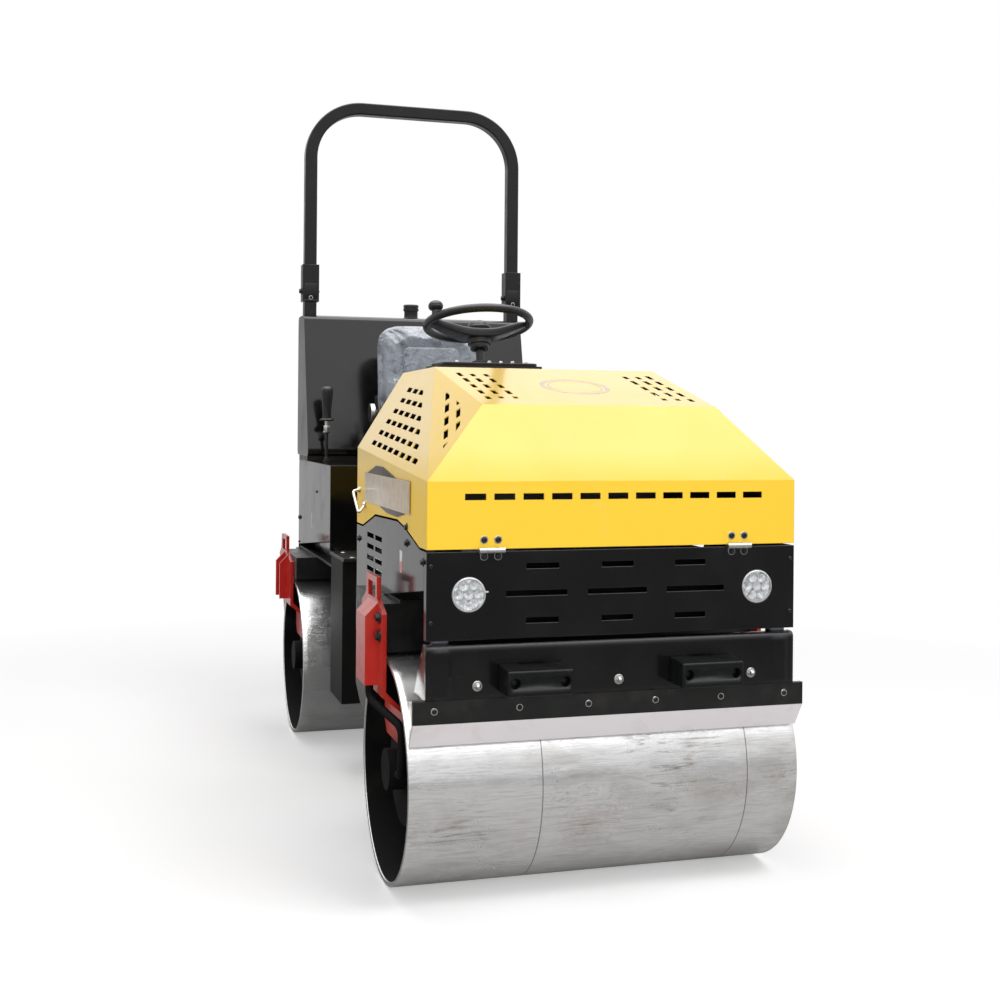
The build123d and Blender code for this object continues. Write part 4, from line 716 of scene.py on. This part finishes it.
def add_bumper(node, body, way):
    """A moulded rubber block with a sloping top, a notch in it and two sunken bolts."""
    lower, upper, _ = extent(node)
    tip, base = (upper.x, lower.x) if way > 0 else (lower.x, upper.x)
    y, bottom = (lower.y + upper.y) / 2, lower.z - 0.005
    bm = bmesh.new()
    loft(bm, [[(x, lower.y, bottom), (x, upper.y, bottom), (x, upper.y, top), (x, lower.y, top)]
              for x, top in ((base, upper.z - 0.01), (tip, upper.z - 0.016))])
    bmesh.ops.recalc_face_normals(bm, faces=bm.faces)
    round_edges(bm, list(bm.faces), 0.005, 3)
    block = piece(node + "_block", bm, body, "rubber", replaces=(node,))
    seats = [Vector((tip - way * BUMPER_HOLE_DEPTH, y + shift, (lower.z + upper.z) / 2 - 0.009))
             for shift in (-BUMPER_HOLE_SHIFT, BUMPER_HOLE_SHIFT)]
    holes = bmesh.new()
    for seat in seats:
        lathe(holes, seat, (way, 0, 0), [(0, BUMPER_HOLE_RADIUS), (0.0485, BUMPER_HOLE_RADIUS)], 32)
    notch = Vector((base, y, upper.z - 0.006))
    rounded_block(holes, notch - BUMPER_NOTCH, notch + BUMPER_NOTCH, 0.001, 1)
    cutter = piece(node + "_holes", holes, body, "rubber")
    carve = block.modifiers.new("holes", "BOOLEAN")
    carve.object = cutter
    carve.solver = "EXACT"
    apply_modifiers(block)
    bpy.data.objects.remove(cutter)
    fasteners(node + "_bolts", body, hex_bolt, 0.0082, (way, 0, 0), seats)


# ------ hood trim
def add_hood_handle(hand):
    """A bent rod between two feet on the hood's flank."""
    side = SIDES[hand]
    upper_foot, lower_foot = Vector((0.345, side * SIDE_FACE, 1.018)), Vector((0.432, side * SIDE_FACE, 0.978))
    out, sag = Vector((0, side * 0.022, -0.004)), Vector((0.012, 0, -0.022))
    bm = bmesh.new()
    corners = [upper_foot, upper_foot + out, lower_foot + out + sag, lower_foot]
    tube(bm, round_corners(corners, 0.014, 7), 0.0045, 16)
    for foot in (upper_foot, lower_foot):
        lathe(bm, foot, (0, side, 0), [(0, 0.0095), (0.0025, 0.0095), (0.005, 0.007), (0.008, 0.006)], 24)
    piece(f"hood_handle_{hand}", bm, "hood", "zinc")


# outlines as x and z
BACKING = [(0.452, 1.072), (0.6, 1.1), (0.7, 1.1), (0.93, 1.068), (1.035, 1.03), (0.985, 0.985),
           (0.9, 0.972), (0.76, 0.974), (0.53, 1.002)]
BADGE = [(0.4415, 1.075), (1.0545, 1.0745), (1.0545, 0.988), (0.4415, 0.9885)]
BADGE_FIELD = [(0.452, 1.0655), (1.044, 1.065), (1.044, 0.9975), (0.452, 0.998)]


def add_badge(hand):
    """The bare plate on the hood's flank and the dark bow-tie plate behind it."""
    side = SIDES[hand]

    def sheet(bm, outline, lift, thickness, radius):
        plate(bm, [(x, side * SIDE_FACE + side * lift, z) for x, z in outline], (0, side * thickness, 0), radius)

    backing = bmesh.new()
    sheet(backing, BACKING, 0, 0.0022, 0.0007)
    piece(f"badge_backing_{hand}", backing, "hood", "black_panel", ["badge_backing"])
    face = bmesh.new()
    sheet(face, BADGE, 0.0022, 0.0018, 0.0006)
    sheet(face, BADGE_FIELD, 0.004, 0.0008, 0.0003)
    piece(f"badge_plate_{hand}", face, "hood", "zinc", ["badge_plate"])


def add_top_ring():
    """A plain ring on the hood's top, between the two groups of slots."""
    slope = Vector((HOOD_CREST[0] - HOOD_NOSE[0], 0, HOOD_CREST[1] - HOOD_NOSE[1])).normalized()
    normal = Vector((slope.z, 0, -slope.x))
    place = Vector((HOOD_NOSE[0], 0.006, HOOD_NOSE[1])) + slope * 0.238
    bm = bmesh.new()
    for profile in ([(0, 0.086), (0.0007, 0.0865), (0.0007, 0.0985), (0, 0.099)],
                    [(0, 0.074), (0.0006, 0.0744), (0.0006, 0.0775), (0, 0.078)]):
        ring_turn(bm, place, normal, profile, 96)
    piece("hood_top_ring", bm, "hood", "zinc", ["badge_plate"])


# ------ covers, core and stickers
def add_sleeve_covers():
    """The thin cover over the gap in each sleeve's front, 5.5 mm clear of the hoop's round foot."""
    for hand in SIDES:
        lower, upper, _ = extent(f"rops_base_{hand}")
        bm = bmesh.new()
        rounded_block(bm, (upper.x - 0.0035, lower.y + 0.007, HOOP_PIVOT_Z - 0.0365),
                      (upper.x - 0.0003, upper.y - 0.007, HOOP_PIVOT_Z + 0.0345), 0.0008, 2)
        piece(f"rops_sleeve_cover_{hand}", bm, REAR, "black_tube")


def add_radiator_core():
    """The finned radiator block behind the grille's slots, near-black as painted shade so that the slots look
    deep.
    """
    x, half, bottom, top = FRONT_FACE - 0.05, 0.33, 0.7, 0.902
    margin, half_fin, fins = 0.004, 0.0009, 34
    bm = bmesh.new()
    rounded_block(bm, (x - 0.03, -half, bottom), (x, half, top), margin, 2)
    for k in range(fins):
        z = bottom + margin + k * (top - bottom - 2 * margin) / (fins - 1)
        plate(bm, [(x, y, z + rise) for y, rise in ((-half + 0.01, -half_fin), (half - 0.01, -half_fin),
                                                    (half - 0.01, half_fin), (-half + 0.01, half_fin))],
              (0.006, 0, 0))
    piece("radiator_core", bm, FRONT, "engine_grey", ["painted_shade_black"])


def add_labels():
    """Small bare stickers on the flanks."""
    rows = [("panel", FRONT, SIDE_FACE, 0.943, 0.014, 0.828, 0.887),
            ("console", REAR, high("console_left").y, -0.865, 0.005, 0.806, 0.866)]
    for hand, side in SIDES.items():
        for name, body, y, x, half, bottom, top in rows:
            bm = bmesh.new()
            plate(bm, [(x - half, side * y, bottom), (x + half, side * y, bottom), (x + half, side * y, top),
                       (x - half, side * y, top)], (0, side * 0.0004, 0))
            piece(f"{name}_sticker_{hand}", bm, body, "white_plastic", ["sticker"])


# ------ driver's place
RIM_RADIUS, RIM_THICKNESS = 0.1805, 0.0145
WHEEL_TILT, WHEEL_DROP = math.radians(14), 0.007
KNOB_ANGLE = math.radians(-68)
# distance from the wheel's middle, upper and lower side, half width
WHEEL_ARM = [(0.18, 0.006, -0.008, 0.02), (0.162, 0.007, -0.013, 0.026), (0.142, 0.004, -0.021, 0.03),
             (0.118, -0.004, -0.031, 0.034), (0.09, -0.0135, -0.042, 0.039), (0.064, -0.022, -0.0515, 0.044),
             (0.042, -0.0268, -0.057, 0.0478), (0.021, -0.0282, -0.0585, 0.049), (0, -0.0285, -0.0588, 0.0492)]


def add_steering_wheel():
    """Rim, the thick V of its cross arms, domed hub with a collar, and the steering knob."""
    bm = bmesh.new()
    hub = (0, 0, 0)
    circle = [(RIM_THICKNESS * math.sin(a), RIM_RADIUS + RIM_THICKNESS * math.cos(a)) for a in angles(18)]
    ring_turn(bm, hub, UP, circle, 144)
    rings = [[(u, way * y, (upper + lower) / 2 + v)
              for u, v in rounded_outline(half_width, (upper - lower) / 2, 0.0055)]
             for way, rows in ((-1, WHEEL_ARM), (1, WHEEL_ARM[-2::-1])) for y, upper, lower, half_width in rows]
    loft(bm, rings)
    lathe(bm, hub, UP, [(-0.0845, 0.033), (-0.076, 0.0335), (-0.075, 0.0405), (-0.055, 0.041), (-0.026, 0.041),
                        (-0.024, 0.044), (-0.016, 0.045), (-0.0135, 0.0435), (-0.0125, 0.038),
                        (-0.006, 0.037), (0.0015, 0.0325), (0.0075, 0.0225), (0.0102, 0.012), (0.011, 0.001)], 64)
    ring_turn(bm, hub, UP, [(-0.084, 0.0215), (-0.084, 0.0332), (-0.0935, 0.0325), (-0.0945, 0.0315),
                            (-0.0945, 0.0225), (-0.0935, 0.0215)], 64)
    lathe(bm, (RIM_RADIUS * math.cos(KNOB_ANGLE), RIM_RADIUS * math.sin(KNOB_ANGLE), 0), UP,
          [(0.004, 0.015), (0.0215, 0.0142), (0.0235, 0.0165), (0.027, 0.0222), (0.0315, 0.025), (0.0372, 0.0258),
           (0.0378, 0.0254), (0.0384, 0.0258), (0.044, 0.0246), (0.05, 0.0208), (0.0545, 0.0142), (0.0572, 0.0068),
           (0.058, 0.0005)], 40)
    across_wheel = Vector((math.cos(WHEEL_TILT), 0, math.sin(WHEEL_TILT)))
    axle = Vector((-math.sin(WHEEL_TILT), 0, math.cos(WHEEL_TILT)))
    centre = Vector(JOINT_PLACE["steering_wheel_turn"]) - WHEEL_DROP * axle
    bm.transform(Matrix.Translation(centre) @ Matrix((across_wheel, (0, 1, 0), axle)).transposed().to_4x4())
    piece("steering_wheel_moulding", bm, "steering_wheel", "black_plastic", smooth=50,
          replaces=("steering_wheel",))


def add_dash_cover():
    """The plate on the dash's top with rounded corners and a row of bright bolts."""
    lower, upper, _ = extent("dash")
    half_width, thickness, bolt_inset = 0.168, 0.0105, 0.022
    centre_x, half_x = (lower.x + upper.x) / 2, (upper.x - lower.x) / 2
    bm = bmesh.new()
    plate(bm, [(centre_x + x, y, upper.z) for x, y in rounded_outline(half_x, half_width, 0.035, 6)],
          (0, 0, thickness), 0.002)
    piece("dash_cover", bm, REAR, "black_frame")
    rows = ((upper.x - bolt_inset, (-0.118, -0.004, 0.037, 0.078, 0.128)),
            (lower.x + bolt_inset, (-0.12, 0, 0.12)))
    fasteners("dash_bolts", REAR, hex_bolt, 0.0062, UP,
              [(x, y, upper.z + thickness) for x, ys in rows for y in ys], "zinc")


LEVER_BOOT_TOP, LEVER_DISC = 1.182, 1.228  # heights on the travel lever


def add_lever():
    """The travel lever: a tapered grip, a disc, a lock nut and its rod in a rubber boot."""
    lower, upper, centre = extent("console_lever")
    base, top = lower.z, upper.z
    foot = (centre.x, centre.y, 0)
    bm = bmesh.new()
    lathe(bm, foot, UP, [(base, 0.015), (base + 0.003, 0.015), (base + 0.004, 0.0115), (base + 0.008, 0.012),
                         (base + 0.01, 0.009), (base + 0.014, 0.0095), (base + 0.016, 0.0066),
                         (LEVER_BOOT_TOP, 0.0066)], 32)
    lathe(bm, foot, UP, [(LEVER_DISC, 0.01), (1.229, 0.027), (1.231, 0.0288), (1.2345, 0.0288), (1.237, 0.026),
                         (1.24, 0.0175), (1.262, 0.0168), (1.3, 0.02), (1.333, 0.0235), (1.35, 0.0242),
                         (1.36, 0.0228), (top - 0.003, 0.0175), (top - 0.0005, 0.01), (top, 0.001)], 40)
    piece("travel_lever_grip", bm, REAR, "black_plastic", smooth=50, replaces=("console_lever",))
    metal = bmesh.new()
    for height, sides, profile in (
            (0, 24, [(LEVER_BOOT_TOP, 0.0135), (1.184, 0.0145), (1.188, 0.0145), (1.19, 0.009), (1.193, 0.009)]),
            (1.192, 6, [(0, 0.0125), (0.002, 0.0135), (0.016, 0.0135), (0.018, 0.0125)]),
            (1.208, 20, [(0, 0.0075), (0.021, 0.0075)])):
        lathe(metal, (centre.x, centre.y, height), UP, profile, sides)
    piece("travel_lever_nut", metal, REAR, "zinc")


# height from the cap's foot, radius, and whether the ribs stand there
FILLER_NECK = [(0, 0.0315, False), (0.005, 0.0315, False), (0.007, 0.0285, False), (0.009, 0.0288, True),
               (0.033, 0.0288, True), (0.0335, 0.0285, False), (0.0345, 0.032, False), (0.0355, 0.0326, True),
               (0.0455, 0.0326, True), (0.0465, 0.03, False), (0.0495, 0.03, False), (0.0505, 0.0326, True)]
RIB_DEPTH = 0.0011


def add_filler_cap():
    """A ribbed screw cap on its neck."""
    lower, upper, centre = extent("tank_cap")
    height = upper.z - lower.z
    lid = [(height - 0.003, 0.0326, True), (height - 0.0008, 0.0305, False), (height, 0.0285, False),
           (height - 0.001, 0.0265, False), (height - 0.001, 0.002, False)]
    rings = []
    for along, radius, ribbed in FILLER_NECK + lid:
        ring = []
        for k, a in enumerate(angles(120)):
            r = radius - (RIB_DEPTH if ribbed and k % 4 < 2 else 0)
            ring.append((centre.x + r * math.cos(a), centre.y + r * math.sin(a), lower.z + along))
        rings.append(ring)
    bm = bmesh.new()
    loft(bm, rings)
    piece("tank_filler_cap", bm, REAR, "black_plastic", smooth=40, replaces=("tank_cap",))


def add_recliner_knob():
    """The round hand knob at the seat's hinge, on the right."""
    bm = bmesh.new()
    start, outward = Vector((-0.8, -0.2275, 1.262)), (0, -1, 0)
    lathe(bm, start, outward, [(-0.006, 0.014), (0.004, 0.014), (0.004, 0.03), (0.007, 0.035), (0.0085, 0.0365),
                               (0.0225, 0.0365), (0.0245, 0.035)], 64)
    lathe(bm, start, outward, [(0.0242, 0.0348), (0.0262, 0.03), (0.0262, 0.012), (0.0245, 0.01),
                               (0.0245, 0.001)], 64, material=1)
    piece("recliner_knob_right", bm, REAR, "zinc", ["zinc", "black_plastic"])


# ------ seat
VOXEL = 0.006
PRESSURE = 4
FURTHEST = 0.012  # no point of a pad moves further as it fills
HELD_BELOW = 0.012  # the pad's underside is held
CLOTH_FRAMES = 20
CLOTH = {"vertex_group_mass": "held", "quality": 5, "mass": 0.3, "tension_stiffness": 25,
         "compression_stiffness": 25, "shear_stiffness": 10, "bending_stiffness": 2, "use_pressure": True,
         "uniform_pressure_force": PRESSURE}


def smooth_step(value, start, end):
    t = min(1, max(0, (value - start) / (end - start)))
    return t * t * (3 - 2 * t)


def groove(distance, width, depth):
    """The depth of a seam at a distance from its line."""
    return depth * math.exp(-(distance / width) ** 2)


def rounded_rectangle_distance(u, v, half_width, half_height, radius):
    """The distance from a point to the outline of a rounded rectangle."""
    du, dv = abs(u) - half_width + radius, abs(v) - half_height + radius
    outside = math.hypot(max(du, 0), max(dv, 0))
    return outside + min(max(du, dv), 0) - radius


def crease(place, scale, seed):
    """A sharp-edged fold pattern from 0 to 1, like wrinkled film."""
    value = noise.noise(place * scale + Vector((seed, 0, 0)))
    return max(0, 1 - abs(value) * 7) ** 2


def seat_block(name, node, width, length, thick, corner, front_edge):
    """A rounded slab in its own coordinates: u across, v along, w up from its base."""
    bm = bmesh.new()
    half_u, half_v = width / 2, length / 2
    outline = rounded_outline(half_u, half_v, corner, 8)
    rings = []
    for height, shrink in ((0, 0.006), (0.006, 0), (thick * 0.55, 0), (thick * 0.85, front_edge * 0.35),
                           (thick * 0.96, front_edge * 0.8), (thick, front_edge * 1.5)):
        rings.append([(u * (half_u - shrink) / half_u, v * (half_v - shrink) / half_v, height)
                      for u, v in outline])
    loft(bm, rings)
    return piece(name, bm, REAR, "seat_vinyl", replaces=(node,))


def inflate(made):
    """Lets pressure round a closed form as cloth."""
    start = [vert.co.copy() for vert in made.data.vertices]
    group = made.vertex_groups.new(name="held")
    group.add([k for k, co in enumerate(start) if co.z < HELD_BELOW], 1, "REPLACE")
    cloth = made.modifiers.new("cloth", "CLOTH")
    for key, value in CLOTH.items():
        setattr(cloth.settings, key, value)
    cloth.settings.effector_weights.gravity = 0
    cloth.collision_settings.use_collision = False
    cloth.point_cache.frame_start = 1
    cloth.point_cache.frame_end = CLOTH_FRAMES
    for step in range(1, CLOTH_FRAMES + 1):
        bpy.context.scene.frame_set(step)
    apply_modifiers(made)
    bpy.context.scene.frame_set(1)
    for vert, co in zip(made.data.vertices, start):
        move = vert.co - co
        if move.length > FURTHEST:
            vert.co = co + move * (FURTHEST / move.length)


def finish_cushion(made, shape, place):
    """Rounds the slab, presses the panels and seams into it and puts it in its place."""
    remesh = made.modifiers.new("remesh", "REMESH")
    remesh.mode = "VOXEL"
    remesh.voxel_size = VOXEL
    apply_modifiers(made)
    inflate(made)
    made.modifiers.new("subdivide", "SUBSURF").levels = 1
    apply_modifiers(made)
    for face in made.data.polygons:
        face.use_smooth = True
    for vert in made.data.vertices:
        vert.co.z += shape(vert.co.x, vert.co.y, vert.co.z)
    made.data.transform(Matrix(place))
    made.data.materials.clear()
    made.data.materials.append(MATERIALS["seat_vinyl"])


def add_seat_cushion():
    """Padded bolsters round a sunken panel with three sewn seams across it."""
    lower, upper, centre = extent("seat_cushion")
    thick = upper.z - lower.z
    pad = seat_block("seat_cushion_pad", "seat_cushion", upper.y - lower.y - 0.016, upper.x - lower.x - 0.016,
                     thick - 0.01, 0.055, 0.02)

    def shape(u, v, w):
        top = smooth_step(w, thick * 0.45, thick * 0.85)
        outline = rounded_rectangle_distance(u, v - 0.012, 0.135, 0.15, 0.035)
        bolster = 0.01 * smooth_step(outline, 0, 0.03)
        seams = sum(groove(v - line, 0.0035, 0.0035) for line in (-0.075, 0, 0.075))
        wrinkle = 0.0012 * crease(Vector((u, v, w)), 17, 3)
        return top * (bolster - 0.006 - groove(outline, 0.0035, 0.0045)
                      - seams * smooth_step(-outline, 0, 0.012) + wrinkle)

    finish_cushion(pad, shape, ((0, 1, 0, centre.x), (-1, 0, 0, centre.y), (0, 0, 1, lower.z), (0, 0, 0, 1)))


def add_seat_back():
    """Bolsters round a sunken panel with one seam across it, and a seam down each side."""
    lower, upper, centre = extent("seat_back")
    rake, thick = math.radians(8), 0.082
    length = (upper.z - lower.z) / math.cos(rake) - 0.004
    pad = seat_block("seat_back_pad", "seat_back", upper.y - lower.y - 0.012, length, thick - 0.012, 0.075, 0.022)

    def shape(u, v, w):
        front = smooth_step(w, thick * 0.4, thick * 0.8)
        outline = rounded_rectangle_distance(u, v + 0.03, 0.118, 0.145, 0.03)
        bolster = 0.016 * smooth_step(outline, 0, 0.04) - 0.007
        seam = groove(v - 0.01, 0.0035, 0.004) * smooth_step(-outline, 0, 0.012)
        side_seams = groove(abs(u) - 0.15, 0.0035, 0.0035) * smooth_step(0.1 - v, 0, 0.04)
        wrinkle = 0.0016 * crease(Vector((u, v, w)), 14, 9) + 0.0011 * crease(Vector((u, v, w)), 31, 1)
        return front * (bolster - groove(outline, 0.0035, 0.005) - seam - side_seams + wrinkle)

    up = Vector((-math.sin(rake), 0, math.cos(rake)))
    out = Vector((math.cos(rake), 0, math.sin(rake)))
    base = Vector((centre.x, 0, centre.z)) - out * (thick / 2)
    finish_cushion(pad, shape, ((0, up.x, out.x, base.x), (1, up.y, out.y, base.y), (0, up.z, out.z, base.z),
                                (0, 0, 0, 1)))


def add_pieces():
    add_front_fasteners()
    add_flank_fasteners()
    add_cab_fasteners()
    for name in ("front_drum", "rear_drum"):
        add_drum(name)
    for hand in SIDES:
        add_lamp(hand)
        add_bumper(f"front_bumper_{hand}", FRONT, 1)
        add_bumper(f"rear_bumper_{hand}", REAR, -1)
        add_hood_handle(hand)
        add_badge(hand)
    add_top_ring()
    add_sleeve_covers()
    add_radiator_core()
    add_labels()
    add_steering_wheel()
    add_dash_cover()
    add_lever()
    add_filler_cap()
    add_recliner_knob()
    add_seat_cushion()
    add_seat_back()


# ------ camera and light
CAMERA_PLACE = Vector((4.4311, -1.2571, 1.2288))
CAMERA_HEADING = math.radians(16.656)  # turned from straight back towards the machine's left
CAMERA_ROLL = 0.00827
LENS, SENSOR = 48.34, 36  # in millimetres
CAMERA_SHIFT = (-0.0056, -0.0777)
WHITE = (1, 1, 1, 1)
AMBIENT = 0.42  # the surround's strength as diffuse light
FLOOR_RADIUS, FLOOR_GLOW = 40, 0.32
FLOOR_FADE = (1.8, 4.2)  # distances over which the floor turns white


def set_camera():
    forward = Vector((-math.cos(CAMERA_HEADING), math.sin(CAMERA_HEADING), 0))
    level = forward.cross(Vector(UP))
    right = math.cos(CAMERA_ROLL) * level + math.sin(CAMERA_ROLL) * Vector(UP)
    up = right.cross(forward)
    camera = bpy.data.objects.new("camera", bpy.data.cameras.new("camera"))
    camera.data.sensor_width = SENSOR
    camera.data.lens = LENS
    camera.data.shift_x, camera.data.shift_y = CAMERA_SHIFT
    camera.matrix_world = Matrix.Translation(CAMERA_PLACE) @ Matrix((right, up, -forward)).transposed().to_4x4()
    bpy.context.collection.objects.link(camera)
    bpy.context.scene.camera = camera


def area_light(name, place, target, size, power):
    """A rectangular lamp that no surface mirrors."""
    light = bpy.data.objects.new(name, bpy.data.lights.new(name, "AREA"))
    light.data.shape = "RECTANGLE"
    light.data.size, light.data.size_y = size
    light.data.energy = power
    light.location = place
    light.rotation_euler = (Vector(target) - Vector(place)).to_track_quat("-Z", "Y").to_euler()
    light.visible_glossy = False
    bpy.context.collection.objects.link(light)


def world_light():
    """A white surround: full white for the camera, weaker as diffuse light. In reflections it is dim near the
    ground and bright straight above."""
    world = bpy.data.worlds.new("studio")
    bpy.context.scene.world = world
    graph = Graph(world)
    calc, times = graph.calc, graph.times
    background = graph.tree.nodes["Background"]
    graph.put(background, "Color", WHITE)
    place = graph.add("TexCoord").outputs["Generated"]
    height = graph.axis(place, "Z")

    def ramp(value, *limits):
        return graph.window(value, *limits, curve="SMOOTHSTEP")

    ahead = ramp(graph.axis(place, "X"), 0, 0.7)
    in_front = times(ahead, ramp(height, 0.25, 0.55, 0.68, 1.65))
    behind = times(calc("SUBTRACT", 1, ahead), ramp(height, 0.06, 0.26, 0.42, 1.15))
    mirrored = calc("ADD", calc("ADD", in_front, behind), ramp(height, 0.7, 0.82, 0, 3.6))
    path = graph.add("LightPath").outputs
    direct = calc("MAXIMUM", path["Is Camera Ray"], path["Is Transmission Ray"])
    glossy = path["Is Glossy Ray"]
    level = calc("ADD", direct, times(glossy, times(mirrored, calc("SUBTRACT", 1, direct))))
    rest = calc("SUBTRACT", 1, calc("MAXIMUM", direct, glossy))
    graph.put(background, "Strength", calc("ADD", level, times(rest, AMBIENT)))


def lay_floor():
    """A pale floor that fades to white away from the machine. In reflections it shows painted shade, darkest under
    the machine between the drums.
    """
    bpy.ops.mesh.primitive_circle_add(vertices=96, radius=FLOOR_RADIUS, fill_type="NGON")
    floor = bpy.context.object
    floor.name = "floor"
    paint = Paint("floor", (0.88, 0.88, 0.88), 0.9, specular=0)
    glossy = paint.add("LightPath").outputs["Is Glossy Ray"]
    direct = paint.calc("SUBTRACT", 1, glossy)
    beside = paint.window(paint.calc("ABSOLUTE", paint.axis(paint.place, "X")), 0.55, 1.15)
    # painted shade: in reflections the floor is near-black under the machine and grey beyond it
    paint.tint((0.08, 0.078, 0.072), glossy)
    paint.tint((0.45, 0.44, 0.42), paint.times(glossy, beside))
    paint.put(paint.shader, "Emission Color", WHITE)
    paint.put(paint.shader, "Emission Strength", paint.times(direct, FLOOR_GLOW))
    distance = paint.add("VectorMath", {0: paint.place}, operation="LENGTH").outputs["Value"]
    far = paint.window(distance, *FLOOR_FADE)
    reflected = paint.along("X", 0, 4.5, 0.62, 0.2)
    glow = paint.add("Emission", {"Strength": paint.calc("ADD", paint.times(glossy, reflected), direct)})
    mix = paint.add("MixShader", {0: far, 1: paint.shader.outputs["BSDF"], 2: glow.outputs["Emission"]})
    paint.put(paint.tree.nodes["Material Output"], "Surface", mix.outputs["Shader"])
    floor.data.materials.append(paint.material)


def light_studio():
    bpy.context.scene.view_settings.view_transform = "Standard"
    world_light()
    area_light("key", (3.97, 2.5, 7), (1.15, 0, 1.18), (3.4, 3.4), 195)
    area_light("front_fill", (6.5, -0.6, 1.6), (0.5, 0, 0.9), (3, 2), 95)
    area_light("overhead", (-0.6, -0.6, 5), (-0.4, 0, 1), (3, 3), 60)
    lay_floor()


set_camera()
light_studio()
dress_frame()
add_pieces()
